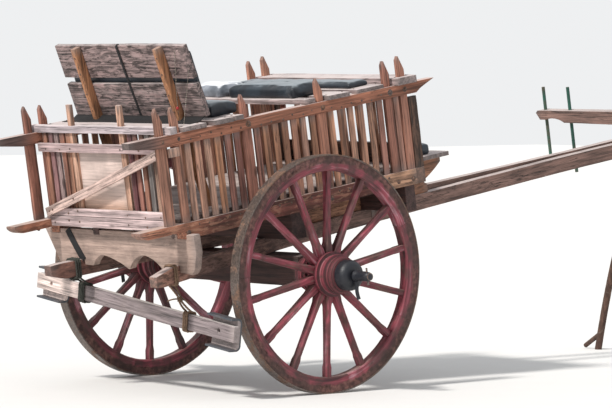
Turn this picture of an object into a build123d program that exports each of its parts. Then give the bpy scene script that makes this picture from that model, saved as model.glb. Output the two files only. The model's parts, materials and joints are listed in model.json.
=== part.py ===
from build123d import *
import math
import os

# A two-wheeled wooden bullock cart, parked on its wheels and a forked prop stick.
# Millimetres. +X points to the oxen, +Y to the cart's left, +Z up, the floor at Z = 0.
# The wheels and the prop stick are drawn as they stand on the floor. Everything else is
# drawn level, in a frame whose zero is the axle's centre, and pitched nose-up about it.

# Driving sizes of the whole cart
PITCH = 9.0                  # degrees, nose-up
SEAT_GAP = 0.3               # between curved pieces that bear on each other
PIN_GAP = 0.5                # radial play of a pin in its hole

# Wheels
WHEEL_RADIUS = 625.0
WHEEL_TRACK = 1497.2         # from rim centre to rim centre
RIM_WIDTH = 62.5
TYRE_THICK = 7.0
FELLOE_DEPTH = 79.0
FELLOE_COUNT = 7
FELLOE_JOINT = 0.8           # open joint between two felloes
RIM_CHAMFER = 5.0
SPOKES_PER_FELLOE = 2
SPOKE_AT_HUB = (42.0, 48.0)  # across the wheel, along the axle
SPOKE_AT_RIM = (32.0, 40.0)
SPOKE_CHAMFER = 7.0
HUB_BARREL_RADIUS = 108.0    # where the spokes enter
HUB_HALF_LENGTH = 151.0
SPINDLE_RADIUS = 20.0
SPINDLE_END = 1090.0         # from the cart's middle
CAP_RADIUS = 80.0
CAP_LENGTH = 70.0
LINCHPIN_RADIUS = 5.0
LINCHPIN_LENGTH = 90.0
LINCHPIN_INSET = 22.0        # from the spindle's end

# Underframe
SHAFT_TOP = 180.0
SHAFT_DEPTH = 85.0
SHAFT_THICK = 60.0
SHAFT_TAIL = (-950.0, 390.0)     # centre line in plan: tail, middle and tip
SHAFT_MIDDLE = (1250.0, 130.0)
SHAFT_TIP = (3300.0, 57.5)
SHAFT_SPLICE = 600.0             # from here back the right shaft runs further out
RIGHT_BEND = (-175.0, 322.0)
RIGHT_TAIL = (-950.0, 505.0)
# How a tail is hewn: depth taken off its end above and below, and the length of each slope
LEFT_TAIL_END = (3.0, 29.0, 60.0, 80.0)
RIGHT_TAIL_END = (22.0, 8.0, 140.0, 60.0)
AXLE_BEAM_WIDTH = 100.0
AXLE_BEAM_DEPTH = 160.0
AXLE_SHOULDER = 6.0              # from the beam's end to the hub
SPINDLE_IN_BEAM = 140.0
BOLSTER_TOP = 320.0
MIDDLE_BOLSTER_WIDTH = 90.0
FRONT_BOLSTER_X = 800.0
FRONT_BOLSTER_WIDTH = 70.0
BOLSTER_HALF = 570.0
VALANCE_X = -735.0
VALANCE_THICK = 45.0
VALANCE_NOTCH_GAP = 5.0
CHEEK_THICK = 38.0
CHEEK_REAR = 330.0
CHEEK_FRONT = 1310.0
CHEEK_NOSE = 45.0                # height of its front end
CHEEK_TAPER = 150.0

# Bed
SILL_TOP = 404.0
SILL_OUTER = 575.0
SILL_WIDTH = 75.0
BED_REAR = -1050.0
BED_FRONT = 920.0
SILL_TAIL_DEPTH = 44.0           # behind the rear bolster
SILL_NOSE = (14.0, 62.0)         # height of its rear end, and how far its round runs
FLOOR_THICK = 20.0
FLOOR_REAR = -762.0
FLOOR_BOARDS = 9
FLOOR_GAP = 5.0
STRINGER_WIDTH = 50.0
STRINGER_Y = 185.0
FRONT_BEAM_WIDTH = 60.0

# Side walls
RAIL_TOP = 868.0
RAIL_DEPTH = 60.0
RAIL_WIDTH = 56.0
RAIL_REAR = -1060.0
RAIL_FRONT = 1050.0
RAIL_TAIL_DEPTH = 34.0
RAIL_TAIL_TAPER = 155.0
RAIL_NOSE = 105.0
WALL_Y = 560.0               # centre plane of posts and slats
POST_THICK = 24.0
POST_NECK = 44.0             # width where it passes the rail
MORTISE_GAP = 0.5
CURVE_SPREAD = 4.0           # how much a shaft's curve widens a straight notch over it
RAIL_BOTTOM = RAIL_TOP - RAIL_DEPTH
RAIL_INNER = WALL_Y - RAIL_WIDTH / 2
SLAT_WIDTH = 38.0
SLAT_THICK = 14.0
POST_SLANT = 75.0            # from a post's tip down to where its slant starts
POST_POINT = (12.0, 22.0)    # width and height of the slant's other side
# Posts of one side: place along the cart, height of the tip, width
POSTS = (
    (-840.0, 1015.0, 60.0),
    (-735.0, 1005.0, 44.0),
    (-270.0, 995.0, 60.0),
    (245.0, 995.0, 60.0),
    (725.0, 1010.0, 50.0),
    (832.0, 1020.0, 50.0),
)
SLAT_COUNTS = (0, 6, 7, 6, 1)    # between one post and the next
FRONT_BOARD_X = (863.0, 920.0)
FRONT_BOARD_TOP = 792.0

# Tail gate, hung between the two rear posts
GATE_X = -781.0
GATE_RAIL = (45.0, 37.0)     # along the cart, high
GATE_RAIL_HALF = 612.0
GATE_STAKE = (18.0, 40.0)    # along the cart, across it
GATE_STAKES_Y = (245.0, -180.0)
GATE_STAKE_TIP = 1016.0
GATE_SLAT = (14.0, 34.0)
GATE_SLATS_LEFT = (485.0, 435.0, 385.0, 335.0, 290.0)
GATE_SLATS_RIGHT = (-235.0, -285.0, -335.0, -385.0, -435.0, -485.0)
GATE_BOARD_THICK = 22.0
GATE_MID_RAIL = (765.0, 811.0)
GATE_UPPER_BOARD = (424.0, 464.0)
GATE_LOWER_BOARD = (366.0, 421.0)
GATE_HALF = WALL_Y - POST_THICK / 2 - 20.0
GATE_PANEL_THICK = 12.0
BRACE_FROM = (500.0, 440.0)
BRACE_TO = (-530.0, 775.0)
BRACE_WIDTH = 48.0
BRACE_THICK = 20.0

# Front wall
FRONT_SLATS = 9
FRONT_SLAT_THICK = 14.0
FRONT_LOW_BOARD = 110.0

# Backrest, leaning over the rear cross planks, its battens run down to the floor
BACK_TOP = (-603.0, 1299.0)      # rear face: along the cart, height
BACK_BOTTOM = (-508.0, 912.0)
BACK_THICK = 30.0
BACK_HALF = 548.0
BACK_BOARD = 184.0
BATTEN = (46.0, 36.0)            # thick, wide
BATTENS_Y = (338.0, -360.0)
BATTEN_SHORT = 2.0               # below the top board's edge
BACK_SLOPE = (BACK_BOTTOM[0] - BACK_TOP[0]) / (BACK_TOP[1] - BACK_BOTTOM[1])
BACK_LEAN = math.degrees(math.atan(BACK_SLOPE))
BACK_LENGTH = math.hypot(BACK_BOTTOM[0] - BACK_TOP[0], BACK_TOP[1] - BACK_BOTTOM[1])

# Cross planks that lie on the rails: rear edge, front edge, thickness, half length
PLANK_THICK = 25.0
FRONT_BENCH_THICK = 20.0
BATTEN_FRONT = BACK_BOTTOM[0] + (BACK_BOTTOM[1] - RAIL_TOP) * BACK_SLOPE
BATTEN_REAR = BATTEN_FRONT - PLANK_THICK * BACK_SLOPE - BATTEN[0] / math.cos(math.atan(BACK_SLOPE))
CROSS_PLANKS = (
    (-708.0, BATTEN_REAR - SEAT_GAP, PLANK_THICK, 600.0),
    (BATTEN_FRONT + SEAT_GAP, -374.0, PLANK_THICK, 604.0),
    (-366.0, -302.0, PLANK_THICK, 598.0),
    (140.0, 212.0, PLANK_THICK, 575.0),
    (278.0, 430.0, PLANK_THICK, 604.0),
    (500.0, 690.0, FRONT_BENCH_THICK, 580.0),
)
FRONT_PLANK = (765.0, 905.0, 40.0, 612.0)

# Driver's seat: rear edge, front edge, half length, thickness
DRIVER_SEAT = (984.0, 1240.0, 430.0, 24.0)
DRIVER_SEAT_TOP = 429.0

# Cushions: rear edge, front edge, right end, left end, height of what they lie on, thickness
CUSHION_GAP = 0.3
PLANK_TOP = RAIL_TOP + PLANK_THICK
CUSHIONS = {
    "cushion_rear": (-430.0, -235.0, -500.0, 470.0, PLANK_TOP, 68.0),
    "cushion_middle_right": (160.0, 375.0, -465.0, 110.0, PLANK_TOP, 68.0),
    "cushion_middle_left": (160.0, 375.0, 150.0, 500.0, PLANK_TOP, 62.0),
    "cushion_front": (515.0, 680.0, -500.0, 480.0, RAIL_TOP + FRONT_BENCH_THICK, 34.0),
    "cushion_driver": (990.0, 1150.0, -400.0, 400.0, DRIVER_SEAT_TOP, 66.0),
}
CUSHION_ROUND = 14.0
BACK_CUSHION_THICK = 38.0        # on the front of the backrest
BACK_CUSHION_TOP = 30.0          # below the backrest's upper edge
BACK_CUSHION_SIDE = 8.0          # in from its ends
BACK_CUSHION_LOW = -6.0          # its lower edge, above the plank, from the boards' lower edge
THIN_CUSHION = 40.0              # a thinner one has a smaller round
THIN_CUSHION_ROUND = 8.0
BRACKET_Y = 360.0
BRACKET_THICK = 28.0
BRACKET_DROP = 150.0
BRACKET_FOOT = 70.0              # its lower end, in front of the beam
BRACKET_LIP = (20.0, 30.0)       # short of the seat's front, and its height
BRACKET_BELLY = (205.0, 58.0)    # middle of its curved edge, from its lower rear corner

# Yoke at the shafts' tips
YOKE_FROM_TIP = 90.0
YOKE_X = SHAFT_TIP[0] - YOKE_FROM_TIP
YOKE_HALF = 880.0
YOKE_DEPTH = 80.0
YOKE_END_DEPTH = 56.0
YOKE_WIDTH = 74.0
SADDLE_HEIGHT = 56.0
SADDLE_HALF = 95.0
YOKE_PIN_RADIUS = 10.0
YOKE_END = 50.0                  # from the outer pin to the yoke's end
NECK_WIDTH = 210.0               # between a neck's two pins, from middle to middle
YOKE_PINS_Y = (YOKE_HALF - YOKE_END - NECK_WIDTH, YOKE_HALF - YOKE_END)
YOKE_PIN_ABOVE = 140.0
YOKE_PIN_BELOW = 300.0
NECK_RISE = 16.0
NECK_DROP = 8.0                  # low side of the neck seat, above the yoke's bottom
PIN_LAND = 24.0                  # from a pin's middle to the neck seat's edge
YOKE_END_CUT = (30.0, 14.0)      # slant at the lower end, chamfer at the upper
ROPE_RADIUS = 6.0
LASHING_SLACK = 1.5

# Prop stick: hinge at the shafts' tips, foot on the floor
PROP_PIN_X = YOKE_X - 130.0
PROP_PIN_RADIUS = 7.0
PROP_PIN_HALF = 105.0
PROP_FOOT = (YOKE_X - 30.0, 440.0)   # on the floor
PROP_BULGE = 22.0                # the stick's bow to the left
PROP_RADIUS = 21.0
PROP_HEAD = (30.0, 52.0)         # across, along the cart
PROP_NECK = 250.0                # flat part below the pin
PROP_HEAD_ABOVE = 40.0
PROP_HEAD_ROUND = 6.0
PROP_LAP = 30.0                  # the round stick starts inside the head
PROP_SINK = 40.0                 # cut off at the floor
PRONG_RADIUS = 14.0
PRONG_FROM = 130.0               # height where the side prong leaves
PRONG_END = (12.0, 112.0, 16.0)  # from the foot: forward, out, up

# Brake beam behind the wheels
BRAKE_BEHIND = 60.0              # from the tyre's rear to the beam's middle
BRAKE_DROP = (74.0, 282.0)       # below the axle's height, left and right
BRAKE_HALF = 845.0
BRAKE_HOLE_INSET = 125.0         # from the beam's end
BRAKE_DEPTH = 82.0
BRAKE_THICK = 32.0
BRAKE_HOLE_RADIUS = 12.0
SHOE_DEPTH = 150.0
SHOE_INSET = 15.0                # from the beam's end
SHOE_WIDTH = 200.0
SHOE_THICK = 20.0
SHOE_ROUND = 18.0
SHOE_LOW = 6.0                   # its middle, below the beam's
LINING_THICK = 10.0
LINING_ARM = 40.0                # its ends, back from the shoe's rear
HANGER_X = -795.0                # place on the shafts' tails
HANGER_Y = (430.0, 455.0)        # place on the beam, left and right
HANGER_RADIUS = 6.0
HANGER_PLAY = 8.0

COS_P = math.cos(math.radians(PITCH))
SIN_P = math.sin(math.radians(PITCH))
RIM_OUTER = WHEEL_RADIUS - TYRE_THICK - SEAT_GAP
RIM_INNER = RIM_OUTER - FELLOE_DEPTH
SHAFT_BOTTOM = SHAFT_TOP - SHAFT_DEPTH
AXLE_BEAM_HALF = WHEEL_TRACK / 2 - HUB_HALF_LENGTH - AXLE_SHOULDER
SILL_INNER = SILL_OUTER - SILL_WIDTH
FLOOR_TOP = SILL_TOP + FLOOR_THICK
YOKE_BOTTOM = SHAFT_TOP + SADDLE_HEIGHT
BRAKE_X = -WHEEL_RADIUS - BRAKE_BEHIND
BRAKE_LEFT_Z = WHEEL_RADIUS - BRAKE_DROP[0]
BRAKE_RIGHT_Z = WHEEL_RADIUS - BRAKE_DROP[1]
YOKE_TOP = YOKE_BOTTOM + YOKE_DEPTH


def block(x0, x1, y0, y1, z0, z1):
    """A box between two corners."""
    centre = Pos((x0 + x1) / 2, (y0 + y1) / 2, (z0 + z1) / 2)
    return centre * Box(x1 - x0, y1 - y0, z1 - z0)


def outline(points):
    return make_face(Polyline(*points, close=True))


def side_plate(face, y0, y1):
    """A plate cut to an outline of (along, up) points, from y0 to y1."""
    return Pos(0, y1, 0) * extrude(Plane.XZ * face, y1 - y0)


def cross_plate(face, x0, x1):
    """A plate cut to an outline of (left, up) points, from x0 to x1."""
    return Pos(x0, 0, 0) * extrude(Plane.YZ * face, x1 - x0)


def plan_plate(face, z0, z1):
    """A plate cut to an outline of (along, left) points, from z0 to z1."""
    return Pos(0, 0, z0) * extrude(face, z1 - z0)


def rod(start, end, radius):
    start, end = Vector(*start), Vector(*end)
    across = Plane(origin=start, z_dir=end - start)
    return extrude(across * Circle(radius), (end - start).length)


def mirrored(shape):
    return mirror(shape, about=Plane.XZ)


def to_floor_frame(x, y, z):
    """A point of the level frame, as it stands on the floor."""
    return (COS_P * x - SIN_P * z, y, WHEEL_RADIUS + SIN_P * x + COS_P * z)


def offset_arc(points, offset):
    """One long edge of a shaft in plan, offset sideways from its centre line."""
    return ThreePointArc(*[(x, y + offset) for x, y in points])


def arc_y(points, x):
    """Where the hollow arc through three points of the plan is, at a place along the cart."""
    (x1, y1), (x2, y2), (x3, y3) = points
    a, b = x2 - x1, y2 - y1
    c, d = x3 - x1, y3 - y1
    e, f = (a * a + b * b) / 2, (c * c + d * d) / 2
    centre_x = x1 + (e * d - b * f) / (a * d - b * c)
    centre_y = y1 + (a * f - e * c) / (a * d - b * c)
    radius = math.hypot(x1 - centre_x, y1 - centre_y)
    return centre_y - math.sqrt(radius ** 2 - (x - centre_x) ** 2)


SHAFT_LINE = (SHAFT_TAIL, SHAFT_MIDDLE, SHAFT_TIP)
SPLICE = (SHAFT_SPLICE, arc_y(SHAFT_LINE, SHAFT_SPLICE))
RIGHT_REAR_LINE = (RIGHT_TAIL, RIGHT_BEND, SPLICE)
RIGHT_FRONT_LINE = (SPLICE, SHAFT_MIDDLE, SHAFT_TIP)


def shaft_y(x, side):
    """Distance of a shaft's centre line from the cart's middle, at a place along the cart."""
    return arc_y(RIGHT_REAR_LINE if side < 0 and x < SHAFT_SPLICE else SHAFT_LINE, x)


# Wheels, drawn about the axle line with the spokes' plane at y = 0

def felloes():
    inner, outer, half = RIM_INNER, RIM_OUTER, RIM_WIDTH / 2
    bevel = RIM_CHAMFER
    section = outline([
        (inner, -half + bevel), (inner + bevel, -half), (outer, -half),
        (outer, half), (inner + bevel, half), (inner, half - bevel),
    ])
    step = 360.0 / FELLOE_COUNT
    sweep_angle = step - math.degrees(FELLOE_JOINT / RIM_INNER)
    one = revolve(section, Axis.Y, sweep_angle)
    first = 90 + step / 2
    return [Rot(0, first + i * step, 0) * one for i in range(FELLOE_COUNT)]


def iron_tyre():
    half = RIM_WIDTH / 2
    inner = WHEEL_RADIUS - TYRE_THICK
    section = outline([(inner, -half), (WHEEL_RADIUS, -half), (WHEEL_RADIUS, half), (inner, half)])
    return [revolve(section, Axis.Y)]


def chamfered_rectangle(width, height, cut):
    x, y = width / 2, height / 2
    return outline([
        (-x, -y + cut), (-x + cut, -y), (x - cut, -y), (x, -y + cut),
        (x, y - cut), (x - cut, y), (-x + cut, y), (-x, y - cut),
    ])


def spokes():
    count = FELLOE_COUNT * SPOKES_PER_FELLOE
    start, end = HUB_BARREL_RADIUS - 12, RIM_INNER + 12
    foot = Pos(0, 0, start) * chamfered_rectangle(*SPOKE_AT_HUB, SPOKE_CHAMFER)
    tip = Pos(0, 0, end) * chamfered_rectangle(*SPOKE_AT_RIM, SPOKE_CHAMFER)
    long_spoke = loft([foot, tip])
    ring = outline([
        (HUB_BARREL_RADIUS + SEAT_GAP, -RIM_WIDTH), (RIM_INNER - SEAT_GAP, -RIM_WIDTH),
        (RIM_INNER - SEAT_GAP, RIM_WIDTH), (HUB_BARREL_RADIUS + SEAT_GAP, RIM_WIDTH),
    ])
    spoke = long_spoke & revolve(ring, Axis.Y)
    return [Rot(0, 360.0 * i / count, 0) * spoke for i in range(count)]


# Turned hub: distance from the spokes' plane as a share of the half length, and radius
HUB_PROFILE = (
    (0.24, HUB_BARREL_RADIUS), (0.24, 118.0), (0.36, 118.0), (0.39, 102.0),
    (0.52, 100.0), (0.54, 106.0), (0.61, 106.0), (0.64, 97.0),
    (0.74, 94.0), (0.76, 98.0), (0.82, 98.0), (0.84, 91.0), (1.0, 88.0),
)


def hub():
    bore = SPINDLE_RADIUS + PIN_GAP
    outer = [(radius, share * HUB_HALF_LENGTH) for share, radius in HUB_PROFILE]
    inner = [(radius, -along) for radius, along in reversed(outer)]
    points = [(bore, -HUB_HALF_LENGTH)] + inner + outer + [(bore, HUB_HALF_LENGTH)]
    return [revolve(outline(points), Axis.Y)]


def hub_cap():
    bore = SPINDLE_RADIUS + PIN_GAP
    start = HUB_HALF_LENGTH
    end = start + CAP_LENGTH
    skirt = start + CAP_LENGTH * 0.45
    rim_line = Line((bore, start), (CAP_RADIUS, start))
    side = Line((CAP_RADIUS, start), (CAP_RADIUS, skirt))
    shoulder = ThreePointArc(
        (CAP_RADIUS, skirt), (CAP_RADIUS * 0.86, end - CAP_LENGTH * 0.16), (CAP_RADIUS * 0.5, end))
    top = Line((CAP_RADIUS * 0.5, end), (bore, end))
    back = Line((bore, end), (bore, start))
    return [revolve(make_face([rim_line, side, shoulder, top, back]), Axis.Y)]


# Underframe

def shaft(lines, tail_end):
    """One shaft, drawn on the left: centre lines from tail to tip, and how its tail is hewn."""
    half = SHAFT_THICK / 2
    outer = [offset_arc(points, half) for points in lines]
    inner = [offset_arc(points, -half) for points in lines]
    ends = [Line(outer[-1] @ 1, inner[-1] @ 1), Line(inner[0] @ 0, outer[0] @ 0)]
    body = plan_plate(make_face(outer + inner + ends), SHAFT_BOTTOM, SHAFT_TOP)
    tail, tip = lines[0][0][0], SHAFT_TIP[0]
    above, below, slope_above, slope_below = tail_end
    hewn = outline([
        (tail, SHAFT_TOP - above), (tail, SHAFT_BOTTOM + below), (tail + slope_below, SHAFT_BOTTOM),
        (tip, SHAFT_BOTTOM), (tip, SHAFT_TOP), (tail + slope_above, SHAFT_TOP),
    ])
    body &= side_plate(hewn, 0, RIGHT_TAIL[1] + SHAFT_THICK)
    middle = (SHAFT_BOTTOM + SHAFT_TOP) / 2
    hole = rod((PROP_PIN_X, 0, middle), (PROP_PIN_X, SHAFT_THICK * 3, middle),
               PROP_PIN_RADIUS + SEAT_GAP)
    return body - hole


def axle_beam():
    beam = block(-AXLE_BEAM_WIDTH / 2, AXLE_BEAM_WIDTH / 2, -AXLE_BEAM_HALF, AXLE_BEAM_HALF,
                 SHAFT_BOTTOM - AXLE_BEAM_DEPTH, SHAFT_BOTTOM)
    for side in (-1, 1):
        beam -= rod((0, side * (AXLE_BEAM_HALF - SPINDLE_IN_BEAM), 0), (0, side * SPINDLE_END, 0),
                    SPINDLE_RADIUS + SEAT_GAP)
    return [beam]


def spindles():
    made = []
    for side in (-1, 1):
        bar = rod((0, side * (AXLE_BEAM_HALF - SPINDLE_IN_BEAM), 0), (0, side * SPINDLE_END, 0),
                  SPINDLE_RADIUS)
        pin_y = side * (SPINDLE_END - LINCHPIN_INSET)
        hole = rod((0, pin_y, -LINCHPIN_LENGTH), (0, pin_y, LINCHPIN_LENGTH),
                   LINCHPIN_RADIUS + SEAT_GAP)
        made.append(bar - hole)
    return made


def linchpins():
    made = []
    for side in (-1, 1):
        y = side * (SPINDLE_END - LINCHPIN_INSET)
        made.append(rod((0, y, -LINCHPIN_LENGTH / 2), (0, y, LINCHPIN_LENGTH / 2), LINCHPIN_RADIUS))
    return made


def shaft_cheeks():
    """Planks on edge along the shafts' tops; the front bolster is halved into them."""
    profile = outline([
        (CHEEK_REAR, SHAFT_TOP), (CHEEK_FRONT, SHAFT_TOP), (CHEEK_FRONT, SHAFT_TOP + CHEEK_NOSE),
        (CHEEK_FRONT - CHEEK_TAPER, BOLSTER_TOP), (CHEEK_REAR, BOLSTER_TOP),
    ])
    deep = side_plate(profile, 0, SHAFT_TAIL[1] + SHAFT_THICK)
    left, right = offset_arc(SHAFT_LINE, CHEEK_THICK / 2), offset_arc(SHAFT_LINE, -CHEEK_THICK / 2)
    strip = make_face([left, Line(left @ 1, right @ 1), right, Line(right @ 0, left @ 0)])
    cheek = deep & plan_plate(strip, SHAFT_TOP, BOLSTER_TOP)
    half = FRONT_BOLSTER_WIDTH / 2 + MORTISE_GAP
    lap = (SHAFT_TOP + BOLSTER_TOP) / 2
    cheek -= block(FRONT_BOLSTER_X - half, FRONT_BOLSTER_X + half, 0, BOLSTER_HALF,
                   lap, BOLSTER_TOP + 1)
    return [cheek, mirrored(cheek)]


def bolsters():
    """Cross beams between the shafts and the bed, above the axle and in front of it."""
    half = MIDDLE_BOLSTER_WIDTH / 2
    middle = block(-half, half, -BOLSTER_HALF, BOLSTER_HALF, SHAFT_TOP, BOLSTER_TOP)
    half = FRONT_BOLSTER_WIDTH / 2
    beam = block(FRONT_BOLSTER_X - half, FRONT_BOLSTER_X + half, -BOLSTER_HALF, BOLSTER_HALF,
                 SHAFT_TOP, BOLSTER_TOP)
    lap = (SHAFT_TOP + BOLSTER_TOP) / 2
    centre = arc_y(SHAFT_LINE, FRONT_BOLSTER_X)
    wide = CHEEK_THICK / 2 + CURVE_SPREAD + MORTISE_GAP
    for side in (-1, 1):
        low, high = sorted((side * (centre - wide), side * (centre + wide)))
        beam -= block(FRONT_BOLSTER_X - 2 * half, FRONT_BOLSTER_X + 2 * half, low, high,
                      SHAFT_TOP - 1, lap)
    return [middle, beam]


# Rear bolster with a scalloped lower edge: (left, up) points, "arc" rows give a middle point
VALANCE_LEFT = ((633.0, 344.0), (535.0, 162.0), (475.0, 155.0))
VALANCE_RIGHT = ((-546.0, 138.0), (-583.0, 133.0), (-611.0, 158.0), (-640.0, 250.0), (-636.0, 344.0))
# Each arch is steep on its left and runs out gently to its right
ARCH_LEFT = ((245.0, 150.0), (207.0, 190.0), (158.0, 210.0), (50.0, 187.0), (-60.0, 141.0))
ARCH_RIGHT = ((-71.0, 146.0), (-117.0, 193.0), (-200.0, 220.0), (-284.0, 196.0), (-346.0, 151.0))


def rear_bolster():
    """It stands up between the sills and stringers, which are let in from above."""
    lines = [
        Polyline(*VALANCE_LEFT, ARCH_LEFT[0]), ThreePointArc(*ARCH_LEFT[:3]),
        ThreePointArc(*ARCH_LEFT[2:]), Line(ARCH_LEFT[-1], ARCH_RIGHT[0]),
        ThreePointArc(*ARCH_RIGHT[:3]), ThreePointArc(*ARCH_RIGHT[2:]),
        Polyline(ARCH_RIGHT[-1], *VALANCE_RIGHT),
        Line(VALANCE_RIGHT[-1], VALANCE_LEFT[0]),
    ]
    front, rear = VALANCE_X + VALANCE_THICK / 2, VALANCE_X - VALANCE_THICK / 2
    board = cross_plate(make_face(lines), rear, front)
    for side in (-1, 1):
        centre = side * shaft_y(VALANCE_X, side)
        half = SHAFT_THICK / 2 + VALANCE_NOTCH_GAP + CURVE_SPREAD
        board -= block(rear - 1, front + 1, centre - half, centre + half, 0, SHAFT_TOP)
        for middle, wide in ((SILL_OUTER - SILL_WIDTH / 2, SILL_WIDTH), (STRINGER_Y, STRINGER_WIDTH)):
            seat = wide / 2 + MORTISE_GAP
            board -= block(rear - 1, front + 1, side * middle - seat, side * middle + seat,
                           BOLSTER_TOP, SILL_TOP)
    return [board]


# Bed

def sill_left():
    """Full depth from the rear bolster forwards, with a thinner tail that ends like a boat."""
    high, run = SILL_NOSE
    low = SILL_TOP - SILL_TAIL_DEPTH
    step = VALANCE_X - VALANCE_THICK / 2
    nose = ((BED_REAR, SILL_TOP - high), (BED_REAR + run * 0.35, low + high * 0.8), (BED_REAR + run, low))
    lines = [
        Line((BED_REAR, SILL_TOP), nose[0]), ThreePointArc(*nose),
        Polyline(nose[2], (step, low), (step, BOLSTER_TOP), (BED_FRONT - FRONT_BEAM_WIDTH, BOLSTER_TOP),
                 (BED_FRONT - FRONT_BEAM_WIDTH, SILL_TOP), (BED_REAR, SILL_TOP)),
    ]
    return side_plate(make_face(lines), SILL_INNER, SILL_OUTER)


def front_beam():
    return [block(BED_FRONT - FRONT_BEAM_WIDTH, BED_FRONT, -SILL_OUTER, SILL_OUTER,
                  BOLSTER_TOP, SILL_TOP)]


def floor_stringers():
    half = STRINGER_WIDTH / 2
    rear = VALANCE_X - VALANCE_THICK / 2
    front = BED_FRONT - FRONT_BEAM_WIDTH
    return [block(rear, front, side * STRINGER_Y - half, side * STRINGER_Y + half,
                  BOLSTER_TOP, SILL_TOP) for side in (-1, 1)]


def floor_boards():
    pitch = (BED_FRONT - FLOOR_REAR + FLOOR_GAP) / FLOOR_BOARDS
    half = WALL_Y - POST_THICK / 2 - FLOOR_GAP
    made = []
    for i in range(FLOOR_BOARDS):
        rear = FLOOR_REAR + i * pitch
        made.append(block(rear, rear + pitch - FLOOR_GAP, -half, half, SILL_TOP, FLOOR_TOP))
    return made


# Side walls

def rail_left():
    profile = outline([
        (RAIL_REAR, RAIL_TOP), (RAIL_REAR, RAIL_TOP - RAIL_TAIL_DEPTH),
        (RAIL_REAR + RAIL_TAIL_TAPER, RAIL_BOTTOM), (RAIL_FRONT - 1.3 * RAIL_NOSE, RAIL_BOTTOM),
        (RAIL_FRONT - RAIL_NOSE, RAIL_BOTTOM + RAIL_DEPTH / 3), (RAIL_FRONT, RAIL_TOP),
    ])
    rail = side_plate(profile, WALL_Y - RAIL_WIDTH / 2, WALL_Y + RAIL_WIDTH / 2)
    half_y = POST_THICK / 2 + MORTISE_GAP
    for x, tip, width in POSTS:
        half_x = post_neck(width) / 2 + MORTISE_GAP
        rail -= block(x - half_x, x + half_x, WALL_Y - half_y, WALL_Y + half_y,
                      RAIL_BOTTOM - 1, RAIL_TOP + 1)
    return rail


def post_neck(width):
    return min(width, POST_NECK)


def posts_left():
    """Posts with a shoulder under the rail and a tip cut to a slant point."""
    made = []
    point_x, point_z = POST_POINT
    for x, tip, width in POSTS:
        half, neck = width / 2, post_neck(width) / 2
        points = [(x - half, SILL_TOP), (x + half, SILL_TOP), (x + half, RAIL_BOTTOM)]
        if neck < half:
            points.append((x + neck, RAIL_BOTTOM))
        points += [(x + neck, tip - POST_SLANT), (x - neck + point_x, tip),
                   (x - neck, tip - point_z)]
        if neck < half:
            points.append((x - neck, RAIL_BOTTOM))
        points.append((x - half, RAIL_BOTTOM))
        made.append(side_plate(outline(points), WALL_Y - POST_THICK / 2, WALL_Y + POST_THICK / 2))
    return made


def slats_left():
    made = []
    for (x, *rest), (next_x, *rest), count in zip(POSTS, POSTS[1:], SLAT_COUNTS):
        for i in range(count):
            centre = x + (next_x - x) * (i + 1) / (count + 1)
            made.append(block(centre - SLAT_WIDTH / 2, centre + SLAT_WIDTH / 2,
                              WALL_Y - SLAT_THICK / 2, WALL_Y + SLAT_THICK / 2,
                              SILL_TOP, RAIL_BOTTOM))
    return made


# Tail gate

def gate_top_rail():
    rail_x, rail_z = GATE_RAIL
    rail = block(GATE_X - rail_x / 2, GATE_X + rail_x / 2, -GATE_RAIL_HALF, GATE_RAIL_HALF,
                 RAIL_TOP, RAIL_TOP + rail_z)
    half_x, half_y = GATE_STAKE[0] / 2 + MORTISE_GAP, GATE_STAKE[1] / 2 + MORTISE_GAP
    for y in GATE_STAKES_Y:
        rail -= block(GATE_X - half_x, GATE_X + half_x, y - half_y, y + half_y,
                      RAIL_TOP - 1, RAIL_TOP + rail_z + 1)
    return [rail]


def gate_stakes():
    half_x, half_y = GATE_STAKE[0] / 2, GATE_STAKE[1] / 2
    return [block(GATE_X - half_x, GATE_X + half_x, y - half_y, y + half_y,
                  FLOOR_TOP, GATE_STAKE_TIP) for y in GATE_STAKES_Y]


def gate_slats():
    half_y = GATE_SLAT[1] / 2
    rear = GATE_X - GATE_STAKE[0] / 2
    return [block(rear, rear + GATE_SLAT[0], y - half_y, y + half_y, FLOOR_TOP, RAIL_TOP)
            for y in GATE_SLATS_LEFT + GATE_SLATS_RIGHT]


def gate_boards():
    """Middle rail and the two bottom boards, nailed on the rear of the stakes."""
    front = GATE_X - GATE_STAKE[0] / 2
    rear = front - GATE_BOARD_THICK
    inner = SILL_INNER - 6
    middle = block(rear, front, -GATE_HALF, GATE_HALF, *GATE_MID_RAIL)
    upper = block(rear, front, -GATE_HALF, GATE_HALF, *GATE_UPPER_BOARD)
    low, high = GATE_LOWER_BOARD
    lower = outline([
        (-GATE_HALF, high), (-GATE_HALF, SILL_TOP + 1), (-inner, SILL_TOP + 1), (-inner, low),
        (inner, low), (inner, SILL_TOP + 1), (GATE_HALF, SILL_TOP + 1), (GATE_HALF, high),
    ])
    return [middle, upper, cross_plate(lower, rear, front)]


def gate_panel():
    rear = GATE_X + GATE_STAKE[0] / 2
    left, right = GATE_STAKES_Y[0] + GATE_STAKE[1] / 2, GATE_STAKES_Y[1] - GATE_STAKE[1] / 2
    return [block(rear, rear + GATE_PANEL_THICK, right, left, FLOOR_TOP, GATE_MID_RAIL[0] + 20)]


def gate_brace():
    """Diagonal batten on the rear of the gate."""
    (y1, z1), (y2, z2) = BRACE_FROM, BRACE_TO
    length = math.hypot(y2 - y1, z2 - z1)
    angle = math.degrees(math.atan2(z2 - z1, y2 - y1))
    face = Pos((y1 + y2) / 2, (z1 + z2) / 2) * Rot(0, 0, angle) * Rectangle(length, BRACE_WIDTH)
    front = GATE_X - GATE_STAKE[0] / 2 - GATE_BOARD_THICK
    return [cross_plate(face, front - BRACE_THICK, front)]


# Front wall

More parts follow.
